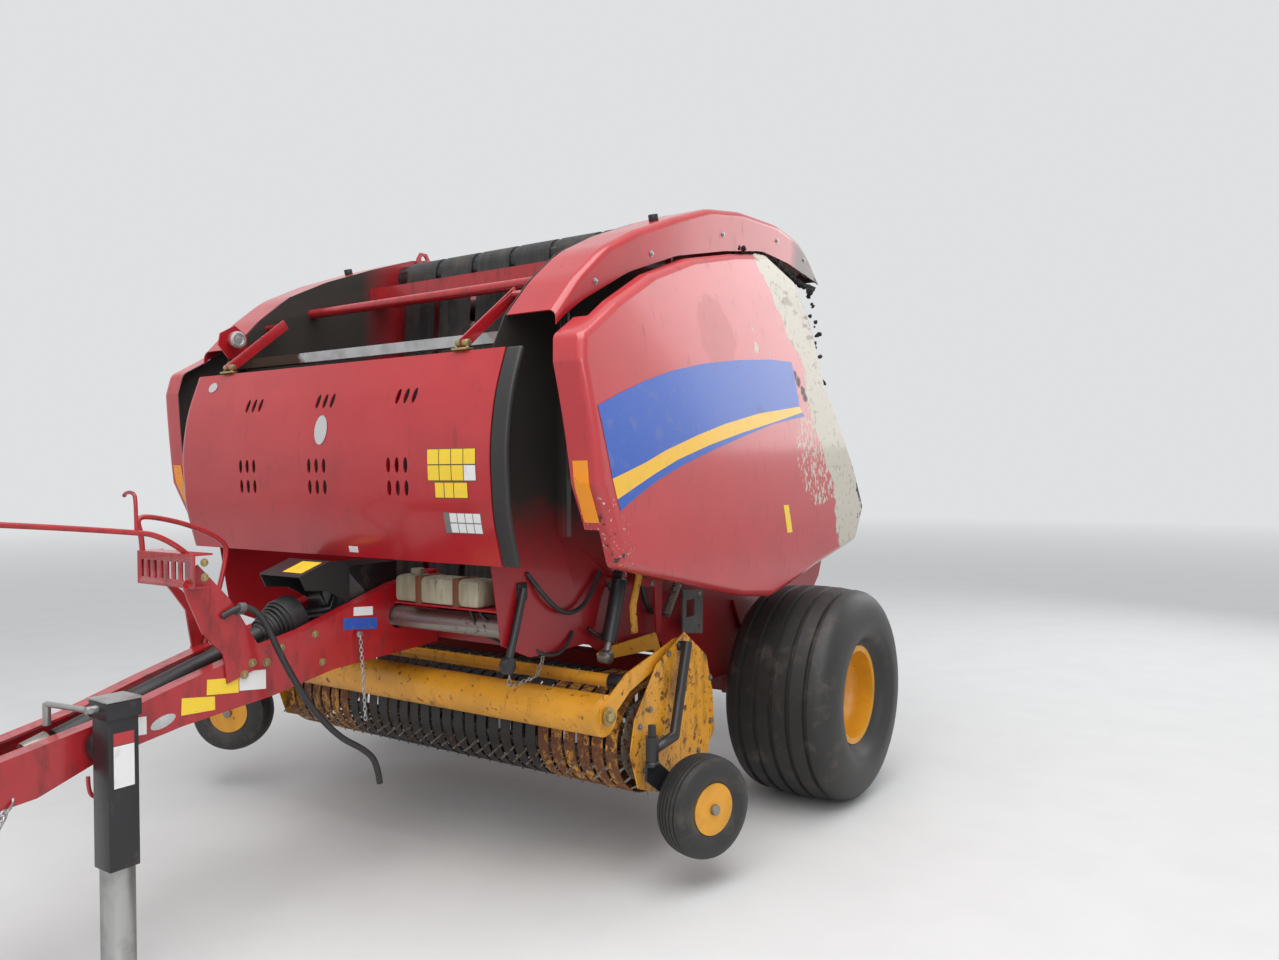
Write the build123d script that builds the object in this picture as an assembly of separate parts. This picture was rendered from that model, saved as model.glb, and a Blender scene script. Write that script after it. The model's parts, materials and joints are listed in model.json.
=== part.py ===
from build123d import *
from math import atan2, cos, degrees, hypot, pi, radians, sin, tan
import os

os.makedirs("parts", exist_ok=True)

# Round baler with a five foot chamber, parked on its wheels and its jack.
# Sizes in mm. X points to the baler's left side, Y to the rear and Z up.
# The shapes are laid out from the middle of the axle on the ground and are
# moved along Y at the end, so that the origin lies under the middle of the box.
AXLE_Y = 1077

# Running gear
TYRE_R = 492
TYRE_W = 540
RIM_R = 204
RIM_FLANGE_R = 226
RIM_W = 400
WHEEL_X = 1170
WHEEL_Z = 492
AXLE_TUBE = 110
SPINDLE_R = 35
HUB_GAP = 0.3

# Bale chamber
SHEET_X = 790
SHEET_T = 6
GATE_X = 752
GATE_T = 6
HINGE = (0, 2600)
HINGE_PIN_R = 24
HINGE_GAP = 0.3

BELTS = 6
BELT_W = 205
BELT_PITCH = 245
BELT_T = 6

# Panels
PANEL_T = 5
COVER_HINGE = (-1852, 1992)
SHIELD_HINGE = (1000, 2560)
HINGE_YS = (-800, -250)

# Pickup
DRUM = (-1170, 500)
BAND_R = 203
BAND_W = 50
BAND_PITCH = 66
BANDS = 30
TINE = 5
TINE_TIP_R = 280
TINE_BAR_R = 130
TINE_BARS = 4
LIFT_PIVOT = (-700, 705)
LIFT_PIN_R = 18
ROTOR = (-600, 770)
ROTOR_R = 60
SHAFT_R = 25
FIT = 0.3
GUARD_PIVOT = (-1010, 850)
GUARD_ROLL = (-1500, 665)
GUARD_ROLL_R = 75

# Gauge wheels, with the caster's pin on the pickup's side
CASTER = (1120, -1340)
CASTER_TRAIL = 170
CASTER_SIDE = 90
GAUGE_R = 188
GAUGE_W = 145
GAUGE_RIM_R = 95
GAUGE_Z = {"left": 300, "right": 385}
GAUGE_TURN = {"left": -16, "right": -120}

# Cylinders, as points in the side view
PIN_R = 15
PIN_GAP = 0.3
EYE_R = 27
EYE_W = 40
GATE_FOOT = (-30, 1500)
GATE_EYE = (290, 2150)
GATE_CYL_X = 862
LIFT_FOOT = (-1160, 1130)
LIFT_EYE = (-1262, 822)
LIFT_CYL_X = 856

# Jack and drawbar
JACK = (222, -2825)
JACK_POST = 90
JACK_LEG = 70


def side_face(points):
    return make_face(Plane.YZ * Polyline(*points, close=True))


def side_plate(points, x0, x1):
    return Pos(x0, 0, 0) * extrude(side_face(points), amount=x1 - x0, dir=(1, 0, 0))


def block(x0, x1, y0, y1, z0, z1):
    centre = Pos((x0 + x1) / 2, (y0 + y1) / 2, (z0 + z1) / 2)
    return centre * Box(abs(x1 - x0), abs(y1 - y0), abs(z1 - z0))


def round_bar(start, end, radius, bore=0):
    way = Vector(*end) - Vector(*start)
    place = Plane(origin=start, z_dir=way)
    low = (Align.CENTER, Align.CENTER, Align.MIN)
    bar = place * Cylinder(radius, way.length, align=low)
    if bore:
        bar -= place * Cylinder(bore, way.length, align=low)
    return bar


def cross_bar(y, z, radius, half, bore=0):
    return round_bar((-half, y, z), (half, y, z), radius, bore)


def square_bar(start, end, width, height, wall=0):
    way = Vector(*end) - Vector(*start)
    side = Vector(1, 0, 0)
    if abs(way.normalized().X) > 0.9:
        side = Vector(0, 1, 0)
    place = Plane(origin=start, x_dir=side, z_dir=way)
    low = (Align.CENTER, Align.CENTER, Align.MIN)
    bar = place * Box(width, height, way.length, align=low)
    if wall:
        bar -= place * Box(width - 2 * wall, height - 2 * wall, way.length, align=low)
    return bar


def turned(profile, x):
    face = make_face(Plane.XY * Polyline(*profile, close=True))
    return Pos(x, 0, 0) * revolve(face, Axis.X)


def eye(x0, x1, point, radius, bore):
    ring = round_bar((x0, *point), (x1, *point), radius)
    return ring - round_bar((x0, *point), (x1, *point), bore)


def loop_face(rolls, extra):
    # rolls: y, z and radius of each roll, counter-clockwise in the side view
    normals = []
    for (y0, z0, r0), (y1, z1, r1) in zip(rolls, rolls[1:] + rolls[:1]):
        length = hypot(y1 - y0, z1 - z0)
        along = ((y1 - y0) / length, (z1 - z0) / length)
        a = (r0 - r1) / length
        b = (1 - a * a) ** 0.5
        normals.append((a * along[0] + b * along[1], a * along[1] - b * along[0]))
    edges = []
    for i, (y, z, r) in enumerate(rolls):
        before, after = normals[i - 1], normals[i]
        middle = (before[0] + after[0], before[1] + after[1])
        size = hypot(*middle)
        reach = r + extra
        points = [
            (y + reach * n[0], z + reach * n[1])
            for n in (before, (middle[0] / size, middle[1] / size), after)
        ]
        edges.append(ThreePointArc(*points))
    for i in range(len(rolls)):
        following = edges[(i + 1) % len(rolls)]
        edges.append(Line(edges[i] @ 1, following @ 0))
    return make_face([Plane.YZ * edge for edge in edges])


def belts(rolls, gap, thickness):
    loop = loop_face(rolls, gap + thickness) - loop_face(rolls, gap)
    band = extrude(loop, amount=BELT_W, dir=(1, 0, 0))
    row = []
    for i in range(BELTS):
        row.append(Pos((i - (BELTS - 1) / 2) * BELT_PITCH - BELT_W / 2, 0, 0) * band)
    return group(*row)


def cylinder(x, foot, eye_at, radius, rod_radius, barrel_share):
    # barrel and rod between two pins, drawn along Z and turned about X
    length = hypot(eye_at[0] - foot[0], eye_at[1] - foot[1])
    barrel_end = length * barrel_share
    low = (Align.CENTER, Align.CENTER, Align.MIN)
    ring = Rot(0, 90, 0) * Cylinder(EYE_R, EYE_W)
    hole = Rot(0, 90, 0) * Cylinder(PIN_R + PIN_GAP, EYE_W)
    barrel = Pos(0, 0, 20) * Cylinder(radius, barrel_end - 20, align=low)
    barrel -= Pos(0, 0, 50) * Cylinder(radius - 6, barrel_end - 70, align=low)
    barrel -= Pos(0, 0, barrel_end - 30) * Cylinder(rod_radius + 0.3, 40, align=low)
    barrel = barrel + ring - hole
    start = 60
    rod = Pos(0, 0, start) * Cylinder(rod_radius, length - 20 - start, align=low)
    rod += Pos(0, 0, start) * Cylinder(radius - 6.3, 30, align=low)
    rod += Pos(0, 0, length) * ring
    rod += Pos(EYE_W / 2 + 3, 0, length) * Rot(0, 90, 0) * Cylinder(PIN_R, 6)
    lean = degrees(atan2(-(eye_at[0] - foot[0]), eye_at[1] - foot[1]))
    place = Pos(x, *foot) * Rot(lean, 0, 0)
    return place * barrel, place * rod


def mirrored(shape):
    return mirror(shape, about=Plane.YZ)


def group(*shapes):
    solids = []
    for shape in shapes:
        solids += shape.solids()
    return Compound(solids)


def write(name, shape):
    moved = Pos(0, AXLE_Y, 0) * shape
    solids = moved.solids()
    whole = solids[0] if len(solids) == 1 else Compound(solids)
    export_step(whole, f"parts/{name}.step")


def write_pair(name, shape):
    write(f"{name}_left", shape)
    write(f"{name}_right", mirrored(shape))


# Axle with its spindles and the plates that carry the chamber
axle = square_bar((-760, 0, WHEEL_Z), (760, 0, WHEEL_Z), AXLE_TUBE, AXLE_TUBE)
axle += cross_bar(0, WHEEL_Z, SPINDLE_R, WHEEL_X - 20)
for sign in (1, -1):
    axle += block(sign * 740, sign * 790, -150, 150, WHEEL_Z - 40, WHEEL_Z + 180)
write("axle", axle)

# Main wheel, as turned profiles along X and out from the spindle
tyre_outer = [
    (-190, 206.3),
    (-192, 229),
    (-235, 262),
    (-270, 345),
    (-262, 420),
    (-222, 474),
    (-110, 489),
    (0, TYRE_R),
    (110, 489),
    (222, 474),
    (262, 420),
    (270, 345),
    (235, 262),
    (192, 229),
    (190, 206.3),
    (172, 232),
    (215, 262),
    (246, 345),
    (205, 448),
    (-205, 448),
    (-246, 345),
    (-215, 262),
    (-172, 232),
]
rim_profile = [
    (-205, 226),
    (-194, 226),
    (-192, 206),
    (-110, 206),
    (-60, 176),
    (60, 176),
    (110, 206),
    (192, 206),
    (194, 226),
    (205, 226),
    (205, 200),
    (118, 198),
    (66, 168),
    (-96, 168),
    (-96, 85),
    (-108, 85),
    (-108, 190),
    (-205, 200),
]
hub_profile = [
    (-150, SPINDLE_R + HUB_GAP),
    (-150, 80),
    (-108, 84),
    (-96, 84),
    (-40, 62),
    (20, 58),
    (20, 0),
    (-10, 0),
    (-10, SPINDLE_R + HUB_GAP),
]
tyre = Pos(0, 0, WHEEL_Z) * turned(tyre_outer, WHEEL_X)
rim = Pos(0, 0, WHEEL_Z) * turned(rim_profile, WHEEL_X)
hub = Pos(0, 0, WHEEL_Z) * turned(hub_profile, WHEEL_X)
write_pair("tyre", tyre)
write_pair("rim", rim + hub)

# Fixed side sheets of the chamber
deck_top = [
    (-1759, 2090),
    (-1632, 2226),
    (-1474, 2353),
    (-1260, 2456),
    (-985, 2560),
    (-720, 2650),
    (-440, 2695),
    (-90, 2708),
    (195, 2669),
    (385, 2507),
]
sheet_outline = [
    (-1840, 1235),
    (-1840, 1930),
    *deck_top[:-2],
    (90, 2660),
    (130, 2300),
    (90, 1600),
    (170, 950),
    (200, 640),
    (120, 560),
    (-500, 560),
    (-680, 650),
    (-760, 680),
    (-770, 800),
    (-1180, 800),
    (-1300, 875),
    (-1640, 875),
    (-1790, 940),
]
hinge_pin = round_bar((GATE_X - 8, *HINGE), (SHEET_X, *HINGE), HINGE_PIN_R)
sheet = side_plate(sheet_outline, SHEET_X, SHEET_X + SHEET_T)
sheet += hinge_pin
sheet -= round_bar((SHEET_X, *ROTOR), (SHEET_X + SHEET_T, *ROTOR), SHAFT_R + FIT)
sheet += round_bar((SHEET_X, *LIFT_PIVOT), (SHEET_X + 30, *LIFT_PIVOT), LIFT_PIN_R)
for y0, y1 in ((-1480, -1440), (-620, -580)):
    sheet += block(SHEET_X + SHEET_T, SHEET_X + 40, y0, y1, 1300, 2200)
sheet += round_bar((SHEET_X, *GATE_FOOT), (GATE_CYL_X + 20, *GATE_FOOT), PIN_R)
write("side_sheet_right", mirrored(sheet))
sheet += round_bar((SHEET_X, *LIFT_FOOT), (LIFT_CYL_X + 20, *LIFT_FOOT), PIN_R)
write("side_sheet_left", sheet)

# Lower frame between the side sheets
frame = square_bar((-790, -1452, 912), (790, -1452, 912), 100, 80)
frame += square_bar((-790, -560, 640), (790, -560, 640), 80, 80)
write("frame_beams", frame)

# Drawbar rails with flanges, turned a little outward to the rear
rail_top = [
    (-3250, 712),
    (-3090, 751),
    (-2820, 805),
    (-2570, 877),
    (-2330, 940),
    (-2120, 983),
    (-1720, 1110),
    (-1500.6, 1150),
]
rail_bottom = [
    (-1500.6, 856),
    (-1720, 842),
    (-1998, 826),
    (-2246, 777),
    (-2567, 740),
    (-2825, 692),
    (-2995, 627),
    (-3250, 600),
]
RAIL_T = 8
CROSS_DRIVE = (-1700, 985)
RAIL_FLANGE = 50
rail = side_plate(rail_top + rail_bottom, 0, RAIL_T)
for edge, step in ((rail_top, -RAIL_T), (rail_bottom, RAIL_T)):
    strip = edge + [(y, z + step) for y, z in reversed(edge)]
    rail += side_plate(strip, -RAIL_FLANGE, 0)
RAIL_TURN = degrees(atan2(75, 1700))
rail = Pos(100, -3250, 0) * Rot(0, 0, -RAIL_TURN) * Pos(0, 3250, 0) * rail
write("drawbar_rail_right", mirrored(rail))
rail -= round_bar((80, *CROSS_DRIVE), (260, *CROSS_DRIVE), 48)
write("drawbar_rail_left", rail)

# Hitch
hitch = block(-99.8, 99.8, -3248, -3190, 618, 700)
for z0 in (614, 684):
    tang = block(-48, 48, -3360, -3240, z0, z0 + 25)
    tang += Pos(0, -3360, z0 + 12.5) * Cylinder(48, 25)
    tang -= Pos(0, -3360, z0 + 12.5) * Cylinder(16.5, 25)
    hitch += tang
write("hitch", hitch)

# Jack on the left rail
jack_post = block(JACK[0] - 45, JACK[0] + 45, JACK[1] - 45, JACK[1] + 45, 400, 890)
jack_post -= block(JACK[0] - 40, JACK[0] + 40, JACK[1] - 40, JACK[1] + 40, 400, 884)
jack_guide = block(JACK[0] - 44, JACK[0] + 44, JACK[1] - 44, JACK[1] + 44, 400, 425)
half = JACK_LEG / 2 + FIT
jack_guide -= block(JACK[0] - half, JACK[0] + half, JACK[1] - half, JACK[1] + half, 400, 425)
jack_post += jack_guide
jack_post += block(128.4, JACK[0] - 45, JACK[1] - 30, JACK[1] + 30, 715, 775)
jack_leg = block(JACK[0] - 35, JACK[0] + 35, JACK[1] - 35, JACK[1] + 35, 12, 530)
jack_leg += block(JACK[0] - 90, JACK[0] + 90, JACK[1] - 90, JACK[1] + 90, 0, 12)
crank = round_bar((JACK[0], JACK[1] - 45, 860), (JACK[0], JACK[1] - 130, 860), 10)
crank += round_bar((JACK[0], JACK[1] - 130, 860), (JACK[0] + 110, JACK[1] - 130, 860), 8)
write("jack_post", jack_post + crank)
write("jack_leg", jack_leg)

# Drive shaft in its guard, with the gearbox behind it
SHAFT_TURN = atan2(200, 640)
shaft_dir = Vector(0, cos(SHAFT_TURN), sin(SHAFT_TURN))
SHAFT_REAR = Vector(0, -2030, 1020)
SHAFT_FRONT = SHAFT_REAR - 960 * shaft_dir
guard = round_bar(SHAFT_REAR - 900 * shaft_dir, SHAFT_REAR - 120 * shaft_dir, 33, 27)
for start in (-900, -160):
    ring = round_bar(SHAFT_REAR + start * shaft_dir, SHAFT_REAR + (start + 40) * shaft_dir, 28, 18 + FIT)
    guard += ring
write("shaft_guard", guard)
shaft = round_bar(SHAFT_REAR - 930 * shaft_dir, SHAFT_REAR - 60 * shaft_dir, 18)
shaft += round_bar(SHAFT_REAR - 80 * shaft_dir, SHAFT_REAR, 40)
shaft += round_bar(SHAFT_REAR - 990 * shaft_dir, SHAFT_REAR - 920 * shaft_dir, 40)
write("drive_shaft", shaft)
gearbox = block(-100, 100, -1900, -1640, 900, 1190)
gearbox += block(-100, 100, -1640, -1502, 860, 920)
gearbox += round_bar((0, -2023.3, SHAFT_REAR.Z), (0, -1900, SHAFT_REAR.Z), 20)
write("gearbox", gearbox)
write("cross_drive", round_bar((100, *CROSS_DRIVE), (SHEET_X, *CROSS_DRIVE), 40))

# Hose bracket on the rails
plate = [
    (-2430, 850),
    (-2180, 900),
    (-2260, 1120),
    (-2400, 1240),
    (-2440, 1300),
    (-2570, 1230),
    (-2480, 1080),
]
bracket = side_plate(plate, RAIL_T, RAIL_T + 8)
bracket = Pos(100, -3250, 0) * Rot(0, 0, -RAIL_TURN) * Pos(0, 3250, 0) * bracket
bracket += mirrored(bracket)
bracket += block(-145, 145, -2520, -2400, 1180, 1188)
write("hose_bracket", bracket)

# Hinged front cover
cover_front = [(-1889, 1228), (-1935, 1400), (-1948, 1620), (-1922, 1800), (-1862, 1963)]
cover_back = [(y + PANEL_T, z) for y, z in reversed(cover_front)]
cover = side_plate(cover_front + cover_back, -930, 890)
cover += block(-930, -925, -1890, -1780, 1240, 1950)
lug = [(-1862, 1940), (-1858, 1940), (-1836, 1985), (-1838, 2008), (-1868, 2008)]
strut = [(-1868, 1984), (-1836, 1975), (-1560, 2190), (-1585, 2225), (-1868, 2004)]
struts = Compound([])
for sign in (1, -1):
    for x in (670, 692):
        low, high = sorted((sign * x, sign * (x + 8)))
        knuckle = side_plate(lug, low, high)
        cover += knuckle - round_bar((low, *COVER_HINGE), (high, *COVER_HINGE), 8 + FIT)
    low, high = sorted((sign * 681, sign * 689))
    bar = side_plate(strut, low, high)
    bar += round_bar((sign * 668, *COVER_HINGE), (sign * 702, *COVER_HINGE), 8)
    bar += round_bar((sign * 685, -1590, 2195), (sign * SHEET_X, -1590, 2195), 14)
    struts = group(struts, bar)
write("cover_struts", struts)
write("front_cover", cover)
write("cover_seal", side_plate(cover_front + cover_back, 890, 960))

# Arched deck over each side
skirt_bottom = [
    (355, 2495),
    (13, 2540),
    (-256, 2549),
    (-612, 2486),
    (-1000, 2398),
    (-1333, 2281),
    (-1605, 2144),
    (-1729, 2068),
]
deck_under = [(y, z - 5) for y, z in reversed(deck_top)]
deck = side_plate(deck_top + deck_under, SHEET_X + SHEET_T, 1025)
deck += side_plate(deck_top + skirt_bottom, 1020, 1025)
for y, z1 in zip(HINGE_YS, (2612, 2697)):
    deck += block(986, 1014, y - 22, y - 14, SHIELD_HINGE[1] - 14, z1)
    deck += block(986, 1014, y + 14, y + 22, SHIELD_HINGE[1] - 14, z1)
    deck += round_bar((SHIELD_HINGE[0], y - 22, SHIELD_HINGE[1]), (SHIELD_HINGE[0], y + 22, SHIELD_HINGE[1]), 5)
write_pair("deck", deck)

# Bulged side shield
shield_outline = [
    (-1832, 1990),
    (-1850, 1900),
    (-1800, 1500),
    (-1740, 1370),
    (-1680, 1220),
    (-1300, 1140),
    (-800, 1030),
    (-530, 995),
    (-400, 1020),
    (-100, 1090),
    (370, 1180),
    (460, 1350),
    (270, 1660),
    (70, 1950),
    (40, 2230),
    (-20, 2440),
    (-270, 2530),
    (-612, 2470),
    (-1000, 2382),
    (-1333, 2265),
    (-1605, 2128),
    (-1730, 2050),
]


def shield_band(inset):
    outer = ThreePointArc((1045 - inset, 2560), (1225 - inset, 1700), (1205 - inset, 950))
    inner = ThreePointArc((1018, 2560), (1198, 1700), (1178, 950))
    sides = [Line(outer @ 0, inner @ 0), Line(outer @ 1, inner @ 1)]
    face = make_face([Plane.XZ * edge for edge in (outer, inner, *sides)])
    return extrude(face, amount=3000, both=True)


outline_prism = side_plate(shield_outline, 900, 1300)
shield = outline_prism & shield_band(0)
inner_face = offset(side_face(shield_outline), -PANEL_T)
inner_prism = Pos(900, 0, 0) * extrude(inner_face, amount=400, dir=(1, 0, 0))
cavity = inner_prism & (Pos(-PANEL_T, 0, 0) * shield_band(0))
shield -= cavity
shield = shield.solids().sort_by(SortBy.VOLUME)[-1]
goose = [
    (988, 2568),
    (1012, 2568),
    (1012, 2548),
    (895, 2534),
    (878, 2500),
    (878, 2400),
    (920, 2365),
    (1113, 2325),
    (1119, 2285),
    (905, 2330),
    (850, 2385),
    (850, 2520),
    (880, 2562),
]
goose_face = make_face(Plane.XZ * Polyline(*goose, close=True))
for y in HINGE_YS:
    arm = Pos(0, y, 0) * extrude(goose_face, amount=6, both=True)
    arm -= round_bar((SHIELD_HINGE[0], y - 8, SHIELD_HINGE[1]), (SHIELD_HINGE[0], y + 8, SHIELD_HINGE[1]), 5.3)
    shield += arm
write_pair("shield", shield)

# Tailgate
gate_outline = [
    (-45, 2600),
    (0, 2645),
    (60, 2620),
    (250, 2420),
    (550, 2320),
    (850, 2100),
    (1050, 1850),
    (1140, 1550),
    (1120, 1200),
    (980, 920),
    (750, 720),
    (500, 630),
    (220, 620),
    (150, 950),
    (60, 1600),
    (100, 2350),
]
gate_sheet = side_plate(gate_outline, GATE_X - GATE_T, GATE_X)
gate_sheet -= round_bar((GATE_X - 20, *HINGE), (GATE_X + 10, *HINGE), HINGE_PIN_R + HINGE_GAP)
lug = [(200, 2230), (200, 2100), (320, 2110), (320, 2190), (270, 2230)]
gate_sheet += side_plate(lug, GATE_X, GATE_X + 60)
gate_sheet += round_bar((GATE_X + 60, *GATE_EYE), (GATE_CYL_X - EYE_W / 2 - PIN_GAP, *GATE_EYE), EYE_R)
write_pair("gate_sheet", gate_sheet)
barrel, rod = cylinder(GATE_CYL_X, GATE_FOOT, GATE_EYE, 36, 18, 0.91)
write_pair("gate_barrel", barrel)
write_pair("gate_rod", rod)
gate_half = GATE_X - GATE_T
gate_frame = square_bar((-gate_half, 1078, 1500), (gate_half, 1078, 1500), 60, 60)
gate_frame += square_bar((-gate_half, 820, 870), (gate_half, 820, 870), 60, 60)
gate_frame += square_bar((-gate_half, 260, 2340), (gate_half, 260, 2340), 70, 70)
write("gate_frame", gate_frame)
lamps = block(-860, 860, 1150, 1190, 1180, 1230)
for sign in (1, -1):
    lamps += block(sign * 640, sign * 860, 1190, 1250, 1140, 1260)
    lamps += block(sign * GATE_X, sign * (GATE_X + 8), 1060, 1150, 1180, 1230)
write("lamp_bar", lamps)

# Rolls and belts
front_set = [(-740, 2540, 75), (-860, 950, 70), (-560, 940, 55), (-250, 2450, 60)]
gate_set = [(420, 760, 55), (975, 1150, 55), (970, 1830, 55), (390, 2190, 55)]
write("front_rolls", group(*[cross_bar(y, z, r, SHEET_X) for y, z, r in front_set]))
write("gate_rolls", group(*[cross_bar(y, z, r, gate_half) for y, z, r in gate_set]))
write("front_belts", belts(front_set, 0.3, BELT_T))
write("gate_belts", belts(gate_set, 0.3, BELT_T))

# Top of the frame
channel = block(-SHEET_X, SHEET_X, -1000, -900, 2400, 2408)
channel += block(-SHEET_X, SHEET_X, -1000, -992, 2408, 2460)
channel += block(-SHEET_X, SHEET_X, -908, -900, 2408, 2460)
write("top_frame", group(channel, cross_bar(-1350, 2290, 22, SHEET_X)))
write("shelf_rail", block(-SHEET_X, SHEET_X, -1740, -1700, 2000, 2040))

# Pickup
band_tail_y = -865
band_arc = CenterArc(DRUM, BAND_R, 62, 236)
top = band_arc @ 0
bottom = band_arc @ 1
band_edges = [band_arc, Line(top, (band_tail_y, top.Y)), Line(bottom, (band_tail_y, bottom.Y))]
band_edges += [Line((band_tail_y, top.Y), (band_tail_y, bottom.Y))]
band_face = make_face([Plane.YZ * edge for edge in band_edges])
band_face -= offset(band_face, -3)
band = extrude(band_face, amount=BAND_W, dir=(1, 0, 0))
bands = []
for i in range(BANDS):
    x = (i - (BANDS - 1) / 2) * BAND_PITCH - BAND_W / 2
    bands.append(Pos(x, 0, 0) * band)
write("pickup_bands", group(*bands))

pickup_side = [
    (-1000, 898),
    (-828, 778),
    (-780, 623),
    (-766, 452),
    (-900, 330),
    (-1170, 300),
    (-1330, 360),
    (-1380, 500),
    (-1350, 620),
    (-1200, 800),
]
PICKUP_SIDE_X = 1046
beams = square_bar((-PICKUP_SIDE_X, -835, 400), (PICKUP_SIDE_X, -835, 400), 60, 60)
beams += square_bar((-PICKUP_SIDE_X, -835, 630), (PICKUP_SIDE_X, -835, 630), 60, 60)
ear = [(-865, 600), (-805, 600), (-672, 680), (-672, 735), (-725, 735), (-865, 660)]
for sign in (1, -1):
    low, high = sorted((sign * (SHEET_X + 12), sign * (SHEET_X + 22)))
    beams += side_plate(ear, low, high)
    beams -= round_bar((low, *LIFT_PIVOT), (high, *LIFT_PIVOT), LIFT_PIN_R + FIT)
lift_arm = [
    (-800, 640),
    (-800, 700),
    (-880, 860),
    (-1240, 850),
    (-1285, 835),
    (-1280, 805),
    (-890, 790),
    (-850, 640),
]
LIFT_ARM_X = LIFT_CYL_X - EYE_W / 2 - PIN_GAP
beams += side_plate(lift_arm, LIFT_ARM_X - 8, LIFT_ARM_X)
write("pickup_beams", beams)

for name, sign in (("left", 1), ("right", -1)):
    low, high = sorted((sign * PICKUP_SIDE_X, sign * (PICKUP_SIDE_X + 6)))
    side = side_plate(pickup_side, low, high)
    side -= round_bar((low, *DRUM), (high, *DRUM), SHAFT_R + FIT)
    side += round_bar((sign * 1016, *GUARD_PIVOT), (sign * PICKUP_SIDE_X, *GUARD_PIVOT), 12)
    lift = GAUGE_Z[name] - 300
    post = round_bar((sign * 1050, -1040, 850), (sign * 1090, -1040, 850), 20)
    post += round_bar((sign * 1090, -1040, 870), (sign * 1090, -1140, 520 + lift), 20)
    post += round_bar((sign * 1090, -1140, 520 + lift), (sign * 1120, -1320, 520 + lift), 20)
    sleeve_low = (sign * CASTER[0], CASTER[1], 480 + lift)
    sleeve_high = (sign * CASTER[0], CASTER[1], 570 + lift)
    post += round_bar(sleeve_low, sleeve_high, 24)
    post -= round_bar(sleeve_low, sleeve_high, 15.3)
    write(f"pickup_side_{name}", side + post)
barrel, rod = cylinder(LIFT_CYL_X, LIFT_FOOT, LIFT_EYE, 30, 14, 0.82)
write("lift_barrel", barrel)
write("lift_rod", rod)

reel = cross_bar(*DRUM, SHAFT_R, 1060)
for i in range(TINE_BARS):
    angle = 360 / TINE_BARS * i + 20
    place = Pos(0, *DRUM) * Rot(angle, 0, 0)
    bar = place * Pos(0, 0, TINE_BAR_R) * Box(1960, 24, 24)
    reel += bar
for x in (-975, 0, 975):
    reel += round_bar((x - 4, *DRUM), (x + 4, *DRUM), TINE_BAR_R + 30)
tines = []
for i in range(TINE_BARS):
    place = Pos(0, *DRUM) * Rot(360 / TINE_BARS * i + 20, 0, 0)
    for k in range(BANDS - 1):
        x = (k - (BANDS - 2) / 2) * BAND_PITCH
        tines.append(place * block(x - TINE / 2, x + TINE / 2, -3, 3, TINE_BAR_R + 12, TINE_TIP_R))
write("pickup_reel", group(reel, *tines))

guard_roll = cross_bar(*GUARD_ROLL, GUARD_ROLL_R, 1024)
guard_tube = cross_bar(-1362, 757, 25, 1024)
arm = side_plate(
    [
        (-1035, 825),
        (-985, 825),
        (-985, 875),
        (-1040, 875),
        (-1370, 795),
        (-1530, 700),
        (-1530, 640),
        (-1480, 640),
        (-1350, 725),
    ],
    1024,
    1030,
)
arm -= round_bar((1024, *GUARD_PIVOT), (1030, *GUARD_PIVOT), 12 + FIT)
guard = guard_roll + guard_tube + arm + mirrored(arm)
write("windguard", guard)

rotor = cross_bar(*ROTOR, ROTOR_R, 740) + cross_bar(*ROTOR, SHAFT_R, SHEET_X + 10)
write("feed_rotor", rotor)

# Gauge wheels on their casters
for name, sign in (("left", 1), ("right", -1)):
    z = GAUGE_Z[name]
    # the wheel's plane runs along trail and its spin axis along out
    turn = GAUGE_TURN[name] if sign > 0 else 180 - GAUGE_TURN[name]
    out = Vector(cos(radians(turn)), sin(radians(turn)), 0)
    trail = Vector(0, 0, 1).cross(out) * sign
    pin = Vector(sign * CASTER[0], CASTER[1], 0)
    low = pin + Vector(0, 0, z + 160)
    wheel = pin + out * CASTER_SIDE + trail * CASTER_TRAIL + Vector(0, 0, z)
    caster = round_bar(tuple(low), tuple(pin + Vector(0, 0, 610 + (z - 300))), 15)
    caster += round_bar(tuple(low), tuple(low + Vector(0, 0, 18)), 26)
    side = Plane(origin=pin, x_dir=trail, z_dir=out * sign)
    reach = CASTER_TRAIL
    cheek = [(-30, z + 168), (30, z + 168), (reach + 30, z + 15), (reach + 30, z - 30)]
    cheek += [(reach - 30, z - 30), (-30, z + 110)]
    arm = make_face(side * Polyline(*cheek, close=True))
    caster += extrude(arm, amount=5, both=True)
    knee = pin + trail * reach + Vector(0, 0, z)
    caster += round_bar(tuple(knee), tuple(wheel), 12)
    write(f"caster_{name}", caster)
    place = Plane(origin=wheel, z_dir=out)
    gauge_tyre = place * (Cylinder(GAUGE_R, GAUGE_W) - Cylinder(GAUGE_RIM_R, GAUGE_W))
    gauge_rim = place * (Cylinder(GAUGE_RIM_R - 0.3, GAUGE_W - 30) - Cylinder(12 + FIT, GAUGE_W))
    write(f"gauge_tyre_{name}", gauge_tyre)
    write(f"gauge_rim_{name}", gauge_rim)
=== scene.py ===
import bpy
import json
import random
from math import cos, pi, radians, sin, tan
from mathutils import Matrix, Quaternion, Vector

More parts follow.
